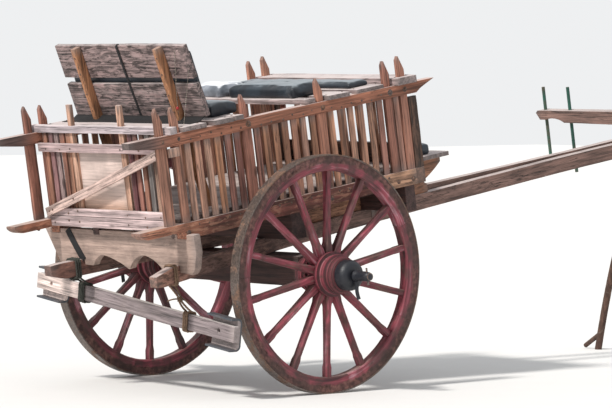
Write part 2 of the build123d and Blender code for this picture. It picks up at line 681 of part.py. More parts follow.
def front_boards():
    """Low board across the front, and a weathered board at the front end of each side."""
    front = BED_FRONT - 4
    rear = front - PLANK_THICK
    half = WALL_Y - POST_THICK / 2 - FLOOR_GAP
    made = [block(rear, front, -half, half, FLOOR_TOP, FLOOR_TOP + FRONT_LOW_BOARD)]
    corner = block(*FRONT_BOARD_X, WALL_Y - POST_THICK / 2, WALL_Y + POST_THICK / 2,
                   SILL_TOP, FRONT_BOARD_TOP)
    return made + [corner, mirrored(corner)]


def front_slats():
    front = BED_FRONT - 4 - PLANK_THICK
    rear = front - FRONT_SLAT_THICK
    half = RAIL_INNER - FLOOR_GAP - SLAT_WIDTH / 2
    made = []
    for i in range(FRONT_SLATS):
        y = -half + 2 * half * i / (FRONT_SLATS - 1)
        made.append(block(rear, front, y - SLAT_WIDTH / 2, y + SLAT_WIDTH / 2, FLOOR_TOP, RAIL_TOP))
    return made


# Planks, seats and backrest

def cross_planks():
    """Loose planks across the rails, the foremost one let in round the front posts."""
    made = [block(rear, front, -half, half, RAIL_TOP, RAIL_TOP + thick)
            for rear, front, thick, half in CROSS_PLANKS]
    rear, front, thick, half = FRONT_PLANK
    plank = block(rear, front, -half, half, RAIL_TOP, RAIL_TOP + thick)
    x, tip, width = POSTS[-1]
    half_x, half_y = post_neck(width) / 2 + MORTISE_GAP, POST_THICK / 2 + MORTISE_GAP
    for side in (-1, 1):
        plank -= block(x - half_x, x + half_x, side * WALL_Y - half_y, side * WALL_Y + half_y,
                       RAIL_TOP - 1, RAIL_TOP + thick + 1)
    return made + [plank]


def leaning(shape):
    """From a frame whose zero is the foot of the backrest's rear face."""
    return Pos(BACK_BOTTOM[0], 0, BACK_BOTTOM[1]) * Rot(0, -BACK_LEAN, 0) * shape


def backrest_boards():
    low = block(0, BACK_THICK, -BACK_HALF, BACK_HALF, 0, BACK_BOARD)
    high = block(0, BACK_THICK, -BACK_HALF, BACK_HALF, BACK_LENGTH - BACK_BOARD, BACK_LENGTH)
    return [leaning(low), leaning(high)]


def backrest_battens():
    """They run on down through the gap between the planks to the floor."""
    thick, wide = BATTEN
    reach = (BACK_BOTTOM[1] - SILL_TOP) / math.cos(math.radians(BACK_LEAN)) + thick
    made = []
    for y in BATTENS_Y:
        bar = leaning(block(-thick, 0, y - wide / 2, y + wide / 2, -reach, BACK_LENGTH - BATTEN_SHORT))
        made.append(split(bar, bisect_by=Plane.XY.offset(FLOOR_TOP), keep=Keep.TOP))
    return made


def cushion(name):
    rear, front, right, left, low, thick = CUSHIONS[name]
    pad = block(rear, front, right, left, low + CUSHION_GAP, low + thick)
    return [fillet(pad.edges(), THIN_CUSHION_ROUND if thick < THIN_CUSHION else CUSHION_ROUND)]


def cushion_back():
    """One long pad on the front of both backrest boards."""
    rear = BACK_THICK + CUSHION_GAP
    half = BACK_HALF - BACK_CUSHION_SIDE
    pad = block(rear, BACK_THICK + BACK_CUSHION_THICK, -half, half,
                BACK_CUSHION_LOW, BACK_LENGTH - BACK_CUSHION_TOP)
    return [leaning(fillet(pad.edges(), THIN_CUSHION_ROUND))]


def driver_seat():
    rear, front, half, thick = DRIVER_SEAT
    return [block(rear, front, -half, half, DRIVER_SEAT_TOP - thick, DRIVER_SEAT_TOP)]


def driver_brackets():
    """Curved knees from the front beam, under the driver's seat."""
    rear, front, half, thick = DRIVER_SEAT
    top = DRIVER_SEAT_TOP - thick
    low = top - BRACKET_DROP
    short, lip = BRACKET_LIP
    nose = (front - short, top - lip)
    belly = (BED_FRONT + BRACKET_BELLY[0], low + BRACKET_BELLY[1])
    foot = (BED_FRONT + BRACKET_FOOT, low)
    lines = [Polyline(foot, (BED_FRONT, low), (BED_FRONT, top), (front - short, top), nose),
             ThreePointArc(nose, belly, foot)]
    plate = side_plate(make_face(lines), BRACKET_Y - BRACKET_THICK / 2, BRACKET_Y + BRACKET_THICK / 2)
    return [plate, mirrored(plate)]


# Yoke

def yoke():
    """Beam with a hollow over each neck, between the holes for its pins."""
    end_low = YOKE_TOP - YOKE_END_DEPTH
    slant, chamfer_cut = YOKE_END_CUT
    inner, outer = YOKE_PINS_Y[0] + PIN_LAND, YOKE_PINS_Y[1] - PIN_LAND
    low = YOKE_BOTTOM + NECK_DROP
    middle = ((inner + outer) / 2, (low + end_low) / 2 + NECK_RISE)
    half = [
        Polyline((0, YOKE_BOTTOM), (SADDLE_HALF, YOKE_BOTTOM), (inner, low)),
        ThreePointArc((inner, low), middle, (outer, end_low)),
        Polyline((outer, end_low), (YOKE_HALF - slant, end_low), (YOKE_HALF, YOKE_TOP - chamfer_cut),
                 (YOKE_HALF - chamfer_cut, YOKE_TOP), (0, YOKE_TOP), (0, YOKE_BOTTOM)),
    ]
    depth = YOKE_WIDTH / 2
    left = cross_plate(make_face(half), YOKE_X - depth, YOKE_X + depth)
    beam = left + mirrored(left)
    for y in YOKE_PINS_Y + tuple(-y for y in YOKE_PINS_Y):
        beam -= rod((YOKE_X, y, YOKE_BOTTOM - YOKE_DEPTH), (YOKE_X, y, YOKE_TOP + YOKE_DEPTH),
                    YOKE_PIN_RADIUS + SEAT_GAP)
    return [beam]


def yoke_pins():
    return [rod((YOKE_X, y, YOKE_BOTTOM - YOKE_PIN_BELOW), (YOKE_X, y, YOKE_TOP + YOKE_PIN_ABOVE),
                YOKE_PIN_RADIUS) for y in YOKE_PINS_Y + tuple(-y for y in YOKE_PINS_Y)]


def yoke_saddle():
    half = YOKE_WIDTH / 2
    return [block(YOKE_X - half, YOKE_X + half, -SADDLE_HALF, SADDLE_HALF, SHAFT_TOP, YOKE_BOTTOM)]


def yoke_lashing():
    """Turns of rope over the yoke and under each shaft, on both sides of it."""
    x = YOKE_WIDTH / 2 + ROPE_RADIUS + LASHING_SLACK
    top = YOKE_TOP + ROPE_RADIUS + SEAT_GAP
    low = SHAFT_BOTTOM - ROPE_RADIUS - SEAT_GAP
    made = []
    for side in (-1, 1):
        centre = side * shaft_y(YOKE_X, side)
        far = SHAFT_THICK / 2 + ROPE_RADIUS + LASHING_SLACK
        inner, outer = centre - side * far, centre + side * far
        corners = [
            (x, outer, top), (x, outer, low), (x, inner, low), (x, inner, top),
            (-x, inner, top), (-x, inner, low), (-x, outer, low), (-x, outer, top),
        ]
        made.append(Pos(YOKE_X, 0, 0) * closed_rope(corners, ROPE_RADIUS))
    return made


def closed_rope(corners, radius):
    """A rope laid round corners, each turned in a short arc."""
    path = FilletPolyline(*corners, radius=radius * 1.1, close=True)
    return sweep(Plane(origin=path @ 0, z_dir=path % 0) * Circle(radius), path)


def prop_pin():
    middle = (SHAFT_BOTTOM + SHAFT_TOP) / 2
    return [rod((PROP_PIN_X, -PROP_PIN_HALF, middle), (PROP_PIN_X, PROP_PIN_HALF, middle),
                PROP_PIN_RADIUS)]


# Prop stick, in the floor frame

def prop_stick():
    hinge = to_floor_frame(PROP_PIN_X, 0, (SHAFT_BOTTOM + SHAFT_TOP) / 2)
    foot = (*PROP_FOOT, 0)
    lean = math.degrees(math.atan2(foot[0] - hinge[0], hinge[2]))
    across, along = PROP_HEAD
    head = block(-along / 2, along / 2, -across / 2, across / 2, -PROP_NECK, PROP_HEAD_ABOVE)
    head = fillet(head.edges().filter_by(Axis.Z), PROP_HEAD_ROUND)
    head -= rod((0, -across, 0), (0, across, 0), PROP_PIN_RADIUS + PIN_GAP)
    head = Pos(*hinge) * Rot(0, -lean, 0) * head
    top = Vector(*hinge) + Vector(math.sin(math.radians(lean)), 0,
                                  -math.cos(math.radians(lean))) * (PROP_NECK - PROP_LAP)
    bottom = Vector(*foot)
    middle = (top + bottom) / 2 + Vector(0, PROP_BULGE, 0)
    path = ThreePointArc(top, middle, bottom - Vector(0, 0, PROP_SINK))
    stick = sweep(Plane(origin=path @ 0, z_dir=path % 0) * Circle(PROP_RADIUS), path)
    share = 1 - PRONG_FROM / top.Z
    leave = path @ share
    tip = bottom + Vector(*PRONG_END)
    prong = rod(tuple(leave), tuple(tip), PRONG_RADIUS)
    whole = head + stick + prong
    return [split(whole, bisect_by=Plane.XY, keep=Keep.TOP)]


# Brake beam, in the floor frame, hanging askew

def brake_frame(shape):
    """From a level beam at z = 0 to the askew beam."""
    slope = math.degrees(math.atan2(BRAKE_LEFT_Z - BRAKE_RIGHT_Z, 2 * BRAKE_HALF))
    return Pos(BRAKE_X, 0, (BRAKE_LEFT_Z + BRAKE_RIGHT_Z) / 2) * Rot(slope, 0, 0) * shape


def brake_beam():
    half = BRAKE_DEPTH / 2
    beam = block(-BRAKE_THICK / 2, BRAKE_THICK / 2, -BRAKE_HALF, BRAKE_HALF, -half, half)
    for side in (-1, 1):
        y = side * (BRAKE_HALF - BRAKE_HOLE_INSET)
        beam -= rod((-BRAKE_THICK, y, 0), (BRAKE_THICK, y, 0), BRAKE_HOLE_RADIUS)
    return [brake_frame(beam)]


def round_nosed(rear, front, half, radius):
    """A block across both brake ends' shoes, its two front edges rounded."""
    made = []
    for side in (-1, 1):
        outer, inner = BRAKE_HALF - SHOE_INSET, BRAKE_HALF - SHOE_INSET - SHOE_WIDTH
        low, high = sorted((side * inner, side * outer))
        solid = block(rear, front, low, high, -SHOE_LOW - half, -SHOE_LOW + half)
        made.append(fillet(solid.edges().filter_by(Axis.Y).group_by(Axis.X)[-1], radius))
    return made


def brake_shoes():
    """Wooden blocks on the beam's front, one towards each wheel."""
    rear = BRAKE_THICK / 2
    return [brake_frame(shoe)
            for shoe in round_nosed(rear, rear + SHOE_THICK, SHOE_DEPTH / 2, SHOE_ROUND)]


def brake_linings():
    """A strip of old tyre bent round each shoe, over its top, front and underside."""
    rear = BRAKE_THICK / 2 - LINING_ARM
    front = BRAKE_THICK / 2 + SHOE_THICK + SEAT_GAP
    half = SHOE_DEPTH / 2 + SEAT_GAP
    outsides = round_nosed(rear, front + LINING_THICK, half + LINING_THICK, SHOE_ROUND + LINING_THICK)
    insides = round_nosed(rear - 1, front, half, SHOE_ROUND)
    return [brake_frame(outside - inside) for outside, inside in zip(outsides, insides)]


def rope_loop(wide, high, radius):
    """Corners of a loop about the zero point, in a plane of (across, up)."""
    x, z = wide / 2 + radius + LASHING_SLACK, high / 2 + radius + LASHING_SLACK
    return [(x, z), (x, -z), (-x, -z), (-x, z)]


def brake_hangers():
    """Rope round each shaft's tail and round the beam, with a stretch between."""
    made = []
    slope = (BRAKE_LEFT_Z - BRAKE_RIGHT_Z) / (2 * BRAKE_HALF)
    radius = HANGER_RADIUS
    bearing = LASHING_SLACK - SEAT_GAP
    beam_depth = BRAKE_DEPTH / math.cos(math.atan(slope))
    for side, low_y in ((1, HANGER_Y[0]), (-1, -HANGER_Y[1])):
        y = side * shaft_y(HANGER_X, side)
        x, _, z = to_floor_frame(HANGER_X, y, (SHAFT_TOP + SHAFT_BOTTOM) / 2)
        loop = rope_loop(SHAFT_THICK + HANGER_PLAY, SHAFT_DEPTH, radius)
        upper = closed_rope([(0, across, up) for across, up in loop], radius)
        upper = Pos(x, y, z) * Rot(0, -PITCH, 0) * Pos(0, 0, -bearing) * upper
        low_x, low_z = BRAKE_X, (BRAKE_LEFT_Z + BRAKE_RIGHT_Z) / 2 + slope * low_y
        loop = rope_loop(BRAKE_THICK, beam_depth, radius)
        lower = closed_rope([(across, 0, up) for across, up in loop], radius)
        lower = Pos(low_x, low_y, low_z + bearing) * lower
        link = rod((x, y, z + loop_bottom(SHAFT_DEPTH, radius)),
                   (low_x, low_y, low_z - loop_bottom(beam_depth, radius)), radius)
        made.append(upper + link + lower)
    return made


def loop_bottom(high, radius):
    return -(high / 2 + radius + LASHING_SLACK)


def pitched(shapes):
    return [Pos(0, 0, WHEEL_RADIUS) * Rot(0, -PITCH, 0) * shape for shape in shapes]


def build():
    """Every node's solids, on the floor, with the axle above x = 0."""
    nodes = {}
    for name, side in (("right", -1), ("left", 1)):
        centre = Pos(0, side * WHEEL_TRACK / 2, WHEEL_RADIUS)
        turn = Rot(0, 0, 180 if side < 0 else 0)
        for piece, make in (("rim", felloes), ("iron_tyre", iron_tyre), ("spokes", spokes),
                            ("hub", hub), ("hub_cap", hub_cap)):
            nodes[f"{piece}_{name}"] = [centre * turn * shape for shape in make()]

    nodes["shaft_left"] = pitched([shaft([SHAFT_LINE], LEFT_TAIL_END)])
    right_lines = [RIGHT_REAR_LINE, RIGHT_FRONT_LINE]
    nodes["shaft_right"] = pitched([mirrored(shaft(right_lines, RIGHT_TAIL_END))])
    for name, one_left in (("sill", sill_left), ("top_rail", rail_left)):
        left = one_left()
        nodes[f"{name}_left"] = pitched([left])
        nodes[f"{name}_right"] = pitched([mirrored(left)])

    for name, many_left in (("side_posts", posts_left), ("side_slats", slats_left)):
        left = many_left()
        nodes[f"{name}_left"] = pitched(left)
        nodes[f"{name}_right"] = pitched([mirrored(shape) for shape in left])

    for make in (axle_beam, spindles, linchpins, rear_bolster, bolsters, shaft_cheeks,
                 front_beam, floor_stringers, floor_boards, gate_top_rail, gate_stakes,
                 gate_slats, gate_boards, gate_panel, gate_brace, front_boards, front_slats,
                 cross_planks, backrest_boards, backrest_battens, cushion_back, driver_seat,
                 driver_brackets, yoke, yoke_pins, yoke_saddle, yoke_lashing, prop_pin):
        nodes[make.__name__] = pitched(make())
    for name in CUSHIONS:
        nodes[name] = pitched(cushion(name))
    for make in (prop_stick, brake_beam, brake_shoes, brake_linings, brake_hangers):
        nodes[make.__name__] = make()
    return nodes


def main():
    os.makedirs("parts", exist_ok=True)
    nodes = build()
    boxes = [shape.bounding_box() for shapes in nodes.values() for shape in shapes]
    rear = min(box.min.X for box in boxes)
    front = max(box.max.X for box in boxes)
    shift = -(rear + front) / 2
    print("nodes", len(nodes), "axle at x =", round(shift, 3))
    for name, shapes in nodes.items():
        moved = [Pos(shift, 0, 0) * shape for shape in shapes]
        solids = [solid for shape in moved for solid in shape.solids()]
        whole = solids[0] if len(solids) == 1 else Compound(children=solids)
        export_step(whole, f"parts/{name}.step")


main()
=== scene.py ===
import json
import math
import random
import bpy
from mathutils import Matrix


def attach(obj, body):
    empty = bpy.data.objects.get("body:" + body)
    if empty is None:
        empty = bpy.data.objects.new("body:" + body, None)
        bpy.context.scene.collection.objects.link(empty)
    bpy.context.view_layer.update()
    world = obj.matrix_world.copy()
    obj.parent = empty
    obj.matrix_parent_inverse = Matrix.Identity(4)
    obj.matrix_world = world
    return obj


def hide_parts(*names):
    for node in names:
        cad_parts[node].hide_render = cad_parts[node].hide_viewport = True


bl_info = {
    "name": "Bullock cart dressing",
    "version": (1, 0, 0),
    "blender": (4, 5, 0),
    "location": "3D View > Sidebar > Cart",
    "description": "Weathered wood, worn paint, vinyl cushions and ironwork for a bullock cart",
    "category": "Object",
}

import bmesh
import bpy
from mathutils import Matrix, Vector, noise

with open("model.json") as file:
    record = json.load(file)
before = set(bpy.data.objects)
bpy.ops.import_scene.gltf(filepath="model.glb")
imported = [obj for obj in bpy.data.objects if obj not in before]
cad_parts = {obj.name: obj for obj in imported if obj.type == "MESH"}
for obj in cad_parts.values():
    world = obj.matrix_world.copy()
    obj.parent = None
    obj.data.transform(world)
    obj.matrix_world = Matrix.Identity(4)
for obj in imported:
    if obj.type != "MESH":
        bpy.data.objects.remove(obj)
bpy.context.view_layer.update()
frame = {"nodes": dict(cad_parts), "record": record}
NODES = frame["nodes"]
JOINTS = {joint["name"]: joint for joint in frame["record"]["behaviour"]["joints"]}
AXLE = Vector(JOINTS["wheel_right_spin"]["pos_m"])
TRACK = 2 * abs(AXLE.y)
WHEEL_RADIUS = AXLE.z
PITCH = math.radians(9.0)
# From the level frame, whose zero is the axle's middle, to the cart as it stands
LEVEL = Matrix.Translation((AXLE.x, 0, AXLE.z)) @ Matrix.Rotation(-PITCH, 4, "Y")
# From the backrest's frame, whose zero is the foot of its boards' rear face
LEANING = LEVEL @ Matrix.Translation((-0.508, 0, 0.912)) @ Matrix.Rotation(-math.atan2(0.095, 0.387), 4, "Y")
STANDING = Matrix.Identity(4)
# Y along the gate's brace, and along the brake beam
ALONG_BRACE = LEVEL @ Matrix.Rotation(-math.atan2(0.335, 1.03), 4, "X")
BEAM_SLOPE = 0.1231
ALONG_BEAM = Matrix.Rotation(math.atan(BEAM_SLOPE), 4, "X")


# Sizes and colours that a user would change

class CartSizes(bpy.types.PropertyGroup):
    edge_wear: bpy.props.FloatProperty(
        name="Edge wear", description="Rounding of the wooden edges",
        default=0.0035, min=0.0, unit="LENGTH")
    warp: bpy.props.FloatProperty(
        name="Warp", description="How far old wood strays from straight",
        default=0.0016, min=0.0, unit="LENGTH")
    ring_step: bpy.props.FloatProperty(
        name="Step along the wood", description="Spacing of the cuts that let wood warp",
        default=0.075, min=0.02, unit="LENGTH")
    cushion_swell: bpy.props.FloatProperty(
        name="Cushion swell", description="How far a cushion's cover may rise from its block",
        default=0.014, min=0.0, unit="LENGTH")
    cushion_voxel: bpy.props.FloatProperty(
        name="Cushion mesh", description="Voxel size of the cushions",
        default=0.008, min=0.003, unit="LENGTH")
    nail_radius: bpy.props.FloatProperty(
        name="Nail head", description="Radius of a nail's head",
        default=0.0055, min=0.001, unit="LENGTH")
    bolt_radius: bpy.props.FloatProperty(
        name="Bolt head", description="Radius of a bolt's washer",
        default=0.014, min=0.001, unit="LENGTH")
    twine_radius: bpy.props.FloatProperty(
        name="Twine", description="Radius of the twine on the backrest",
        default=0.0026, min=0.0005, unit="LENGTH")


def colour(name, description, default):
    return bpy.props.FloatVectorProperty(name=name, description=description, subtype="COLOR", size=3,
                                         min=0.0, max=1.0, default=default)


class CartColours(bpy.types.PropertyGroup):
    side_wood: colour("Side wood", "Rails and sill tails of the side walls", (0.270, 0.109, 0.066))
    tail_wood: colour("Tail wood", "Top rail of the tail gate", (0.48, 0.405, 0.42))
    pale_wood: colour("Pale wood", "Rear bolster", (0.50, 0.360, 0.300))
    grey_wood: colour("Grey wood", "Cross planks and driver's seat", (0.190, 0.145, 0.140))
    batten_wood: colour("Batten wood", "Battens of the backrest", (0.40, 0.185, 0.090))
    shaft_wood: colour("Shaft wood", "Shafts and yoke", (0.172, 0.101, 0.082))
    under_wood: colour("Underframe wood", "Dark wood below the bed", (0.070, 0.034, 0.030))
    red_paint: colour("Wheel paint", "Worn paint of the wheels", (0.235, 0.040, 0.058))
    road_dirt: colour("Road dirt", "Dirt on the rims", (0.100, 0.048, 0.039))
    iron: colour("Iron", "Tyres and spindles", (0.125, 0.100, 0.088))
    rubber: colour("Rubber", "Hub caps and the covers of the spindles", (0.0060, 0.0080, 0.0135))
    vinyl: colour("Vinyl", "Cushion covers", (0.013, 0.017, 0.024))
    rope: colour("Rope", "Hangers and lashings", (0.19, 0.118, 0.075))
    pin_paint: colour("Pin paint", "Green paint of the yoke pins", (0.020, 0.125, 0.085))
    bark: colour("Bark", "Prop stick", (0.075, 0.040, 0.028))
    floor: colour("Floor", "Stage floor and backdrop", (0.78, 0.77, 0.75))


def sizes():
    return bpy.context.scene.cart_sizes


def colours():
    return bpy.context.scene.cart_colours


def own_names(group):
    """The names of a group's own properties."""
    return [name for name in group.bl_rna.properties.keys() if name not in ("rna_type", "name")]


# Materials

class Shader:
    """A material's node tree, written as calls that return sockets."""

    def __init__(self, name):
        self.material = bpy.data.materials.new(name)
        self.material.use_nodes = True
        self.tree = self.material.node_tree
        self.tree.nodes.clear()
        self.output = self.tree.nodes.new("ShaderNodeOutputMaterial")
        self.surface = self.tree.nodes.new("ShaderNodeBsdfPrincipled")
        self.link(self.surface.outputs[0], self.output.inputs["Surface"])

    def link(self, source, target):
        self.tree.links.new(source, target)

    def put(self, value, target):
        if isinstance(value, bpy.types.NodeSocket):
            self.link(value, target)
        elif isinstance(value, (tuple, list)) and len(value) == 3 and target.type == "RGBA":
            target.default_value = (*value, 1.0)
        else:
            target.default_value = value

    def node(self, kind, result=0, settings=None, **inputs):
        node = self.tree.nodes.new(kind)
        for key, value in (settings or {}).items():
            setattr(node, key, value)
        for key, value in inputs.items():
            target = node.inputs[int(key[1:])] if key[0] == "i" and key[1:].isdigit() else node.inputs[key]
            self.put(value, target)
        return node.outputs[result]

    def maths(self, operation, a, b=0.0, c=0.0):
        return self.node("ShaderNodeMath", settings={"operation": operation}, i0=a, i1=b, i2=c)

    def times(self, a, b):
        return self.maths("MULTIPLY", a, b)

    def plus(self, a, b):
        return self.maths("ADD", a, b)

    def minus(self, a, b):
        return self.maths("SUBTRACT", a, b)

    def inverse(self, a):
        return self.maths("SUBTRACT", 1.0, a)

    def absolute(self, a):
        return self.maths("ABSOLUTE", a)

    def weighed(self, a, share_a, b, share_b):
        """The sum of two values, each times its share."""
        return self.plus(self.times(a, share_a), self.times(b, share_b))

    def stretch(self, vector, scale):
        return self.node("ShaderNodeVectorMath", settings={"operation": "MULTIPLY"}, i0=vector, i1=scale)

    def noise(self, vector, scale=1.0, detail=3.0, roughness=0.55, distortion=0.0):
        return self.node("ShaderNodeTexNoise", Vector=vector, Scale=scale, Detail=detail,
                         Roughness=roughness, Distortion=distortion)

    def band(self, value, low, high):
        """0 below low, 1 above high, smooth between."""
        return self.node("ShaderNodeMapRange", settings={"interpolation_type": "SMOOTHSTEP"},
                         i0=value, i1=low, i2=high, i3=0.0, i4=1.0)

    def ramp(self, value, *stops):
        node = self.tree.nodes.new("ShaderNodeValToRGB")
        points = node.color_ramp.elements
        while len(points) < len(stops):
            points.new(0.5)
        for point, (place, shade) in zip(points, stops):
            point.position = place
            point.color = (*shade, 1.0)
        self.put(value, node.inputs[0])
        return node.outputs[0]

    def mix(self, factor, a, b, blend="MIX"):
        return self.node("ShaderNodeMix", result=2, settings={"data_type": "RGBA", "blend_type": blend},
                         i0=factor, i6=a, i7=b)

    def attribute(self, name, vector=False):
        return self.node("ShaderNodeAttribute", result=1 if vector else 2,
                         settings={"attribute_name": name})

    def object_place(self):
        return self.node("ShaderNodeTexCoord", result=3)

    def up_facing(self):
        normal = self.node("ShaderNodeTexCoord", result=1)
        return self.node("ShaderNodeSeparateXYZ", result=2, Vector=normal)

    def bump(self, height, strength, distance, under=None):
        inputs = {"Height": height, "Strength": strength, "Distance": distance}
        if under is not None:
            inputs["Normal"] = under
        return self.node("ShaderNodeBump", **inputs)

    def finish(self, **inputs):
        for key, value in inputs.items():
            self.put(value, self.surface.inputs[key.replace("_", " ")])
        return self.material


def shade(tone, factor):
    return tuple(min(1.0, channel * factor) for channel in tone)


def blend_tones(a, b, share):
    return tuple(x * (1 - share) + y * share for x, y in zip(a, b))


def grain_place(shader):
    """Each piece's own grain coordinates, along the wood first, shifted from piece to piece."""
    tint = shader.attribute("tint")
    grain = shader.attribute("grain", vector=True)
    offset = shader.node("ShaderNodeCombineXYZ", i0=shader.times(tint, 31.7),
                         i1=shader.times(tint, 17.3), i2=shader.times(tint, 9.1))
    place = shader.node("ShaderNodeVectorMath", settings={"operation": "ADD"}, i0=grain, i1=offset)
    return place, tint


# How far a wood's figure strays from its tone
DARKEST, LIGHTEST = 0.34, 1.66
FIGURE_REACH = 0.088
# Colour of the tops: sun-bleached wood, paled further as painted light on the lit tops
BLEACHED_AND_LIT_TOP = (0.66, 0.60, 0.58)


def wood(name, *tones, contrast=1.0, cracks=1.0, grey_ends=0.5, top_bleach_and_light=0.35, relief=1.0,
         variety=0.4, dirt=0.35, zones=(), mottle=0.0):
    """Bare weathered wood: fibres, streaks, drying cracks, knots, greyed ends, and tops paled by
    sun-bleaching and by painted light.

    Each piece takes one of the tones by its tint. A zone is an axis, a place and the tone below it.
    """
    s = Shader(name)
    place, tint = grain_place(s)
    fibre = s.noise(s.stretch(place, (6.0, 150.0, 150.0)), detail=6.0, roughness=0.66)
    streak = s.noise(s.stretch(place, (1.6, 42.0, 42.0)), detail=4.0, roughness=0.6, distortion=0.5)
    patch = s.noise(s.stretch(place, (2.4, 7.0, 7.0)), detail=3.0)
    figure = s.plus(s.weighed(fibre, 0.30, streak, 0.44), s.times(patch, 0.26))
    reach = FIGURE_REACH / contrast
    factor = s.node("ShaderNodeMapRange", i0=figure, i1=0.5 - reach, i2=0.5 + reach, i3=DARKEST, i4=LIGHTEST)
    if len(tones) > 1:
        stops = [(i / len(tones), tone) for i, tone in enumerate(tones)]
        base = s.ramp(s.maths("FRACT", s.times(tint, 5.77)), *stops)
    else:
        base = tones[0]
    for axis, limit, zone_tone in zones:
        along = s.node("ShaderNodeSeparateXYZ", result=axis, Vector=s.object_place())
        below = s.inverse(s.band(along, limit - 0.1, limit + 0.1))
        base = s.mix(below, base, zone_tone)
    tone = tones[0]
    wooden = s.node("ShaderNodeVectorMath", settings={"operation": "SCALE"}, i0=base, Scale=factor)
    value = s.plus(1.0 - variety * 0.5, s.times(tint, variety))
    wooden = s.node("ShaderNodeHueSaturation", Hue=0.5, Saturation=1.0, Value=value, Color=wooden)
    split_noise = s.noise(s.stretch(place, (1.7, 80.0, 80.0)), detail=2.0, distortion=0.3)
    split = s.absolute(s.minus(split_noise, 0.5))
    split = s.times(s.inverse(s.band(split, 0.005, 0.026)),
                    s.band(patch, 0.42, 0.60))
    split = s.times(split, cracks)
    wooden = s.mix(s.times(split, 0.85), wooden, shade(tone, 0.12))
    if mottle > 0:
        flake = s.noise(s.stretch(place, (13.0, 46.0, 46.0)), detail=5.0, roughness=0.68, distortion=0.6)
        wooden = s.mix(s.times(s.band(flake, 0.50, 0.60), mottle), wooden, shade(tone, 2.1))
        wooden = s.mix(s.times(s.inverse(s.band(flake, 0.38, 0.46)), mottle),
                       wooden, shade(tone, 0.22))
    knot = s.node("ShaderNodeTexVoronoi", Vector=s.stretch(place, (3.0, 11.0, 11.0)), Scale=1.0)
    knot = s.inverse(s.band(knot, 0.03, 0.12))
    wooden = s.mix(s.times(knot, 0.75), wooden, shade(tone, 0.2))
    ends = s.band(s.plus(s.attribute("ends"), s.times(fibre, 0.03)), 0.012, 0.075)
    ends = s.times(s.inverse(ends), grey_ends)
    grey = sum(tone) / 3
    wooden = s.mix(ends, wooden, (grey * 0.85, grey * 0.72, grey * 0.68))
    # Up-facing faces turn pale: sun-bleaching, and painted light that brightens the tops and their edges
    dust = s.times(s.band(s.up_facing(), 0.55, 0.98), top_bleach_and_light)
    pale = blend_tones(shade(tone, 1.9), BLEACHED_AND_LIT_TOP, 0.7)
    wooden = s.mix(s.times(dust, s.plus(0.45, s.times(streak, 0.9))), wooden, pale)
    grime = s.noise(s.object_place(), scale=5.0, detail=5.0, roughness=0.6)
    wooden = s.mix(s.times(s.band(grime, 0.5, 0.68), dirt), wooden, shade(tone, 0.28))
    height = s.minus(s.plus(fibre, s.times(streak, 0.6)),
                     s.times(split, 1.6))
    return s.finish(Base_Color=wooden, Roughness=s.plus(0.66, s.times(fibre, 0.24)),
                    Normal=s.bump(height, 0.7 * relief, 0.0028))


def wheel_place(s):
    """Distance from the axle's line, and the place along it."""
    centred = s.node("ShaderNodeVectorMath", settings={"operation": "SUBTRACT"},
                     i0=s.object_place(), i1=(AXLE.x, 0.0, AXLE.z))
    parts = s.tree.nodes.new("ShaderNodeSeparateXYZ")
    s.put(centred, parts.inputs[0])
    x, y, z = parts.outputs
    return s.maths("SQRT", s.plus(s.times(x, x), s.times(z, z))), y


def painted_wood(name, paint, bare, wear=0.5, dirt_from=None):
    """Thin old paint over wood: rubbed through along the grain, dusty, muddy beyond a radius."""
    s = Shader(name)
    place, tint = grain_place(s)
    fibre = s.noise(s.stretch(place, (7.0, 110.0, 110.0)), detail=5.0, roughness=0.65)
    band = s.noise(s.stretch(place, (2.5, 22.0, 22.0)), detail=3.0, distortion=0.4)
    blotch = s.noise(s.stretch(place, (9.0, 26.0, 26.0)), detail=4.0, roughness=0.6)
    rubbed = blend_tones(paint, (0.52, 0.31, 0.35), 0.65)
    red = s.ramp(s.weighed(band, 0.6, fibre, 0.4),
                 (0.38, shade(paint, 0.22)), (0.465, shade(paint, 0.75)), (0.54, shade(paint, 1.15)),
                 (0.62, rubbed))
    cloud = s.noise(s.object_place(), scale=3.4, detail=3.0)
    value = s.plus(s.times(tint, 0.35), s.times(s.band(cloud, 0.38, 0.62), 0.55))
    value = s.plus(0.52, value)
    red = s.node("ShaderNodeHueSaturation", Hue=0.5, Saturation=1.0, Value=value, Color=red)
    wooden = s.ramp(fibre, (0.32, shade(bare, 0.35)), (0.66, shade(bare, 1.3)))
    worn = s.weighed(blotch, 0.6, fibre, 0.4)
    worn = s.band(worn, 0.60 - wear * 0.16, 0.66 - wear * 0.10)
    tone = s.mix(s.times(worn, 0.85), red, wooden)
    rough = s.plus(0.58, s.times(worn, 0.25))
    if dirt_from is not None:
        radius = wheel_place(s)[0]
        ragged = s.noise(s.object_place(), scale=26.0, detail=5.0, roughness=0.65)
        edge = s.plus(radius, s.times(s.minus(ragged, 0.5), 0.05))
        muddy = s.band(edge, dirt_from - 0.006, dirt_from + 0.012)
        earth = colours().road_dirt
        mud = s.ramp(s.noise(s.object_place(), scale=44.0, detail=5.0),
                     (0.36, shade(earth, 0.35)), (0.52, tuple(earth)), (0.66, shade(earth, 1.9)))
        tone = s.mix(s.times(muddy, 0.93), tone, mud)
        rough = s.plus(rough, s.times(muddy, 0.2))
    grime = s.noise(s.object_place(), scale=7.0, detail=4.0)
    tone = s.mix(s.times(s.band(grime, 0.45, 0.62), 0.7), tone, shade(bare, 0.4))
    dust = s.times(s.band(s.up_facing(), 0.6, 1.0), 0.3)
    tone = s.mix(dust, tone, (0.55, 0.42, 0.36))
    height = s.minus(fibre, s.times(worn, 0.9))
    return s.finish(Base_Color=tone, Roughness=rough, Normal=s.bump(height, 0.5, 0.0018))


HUB_HALF_LENGTH = 0.151
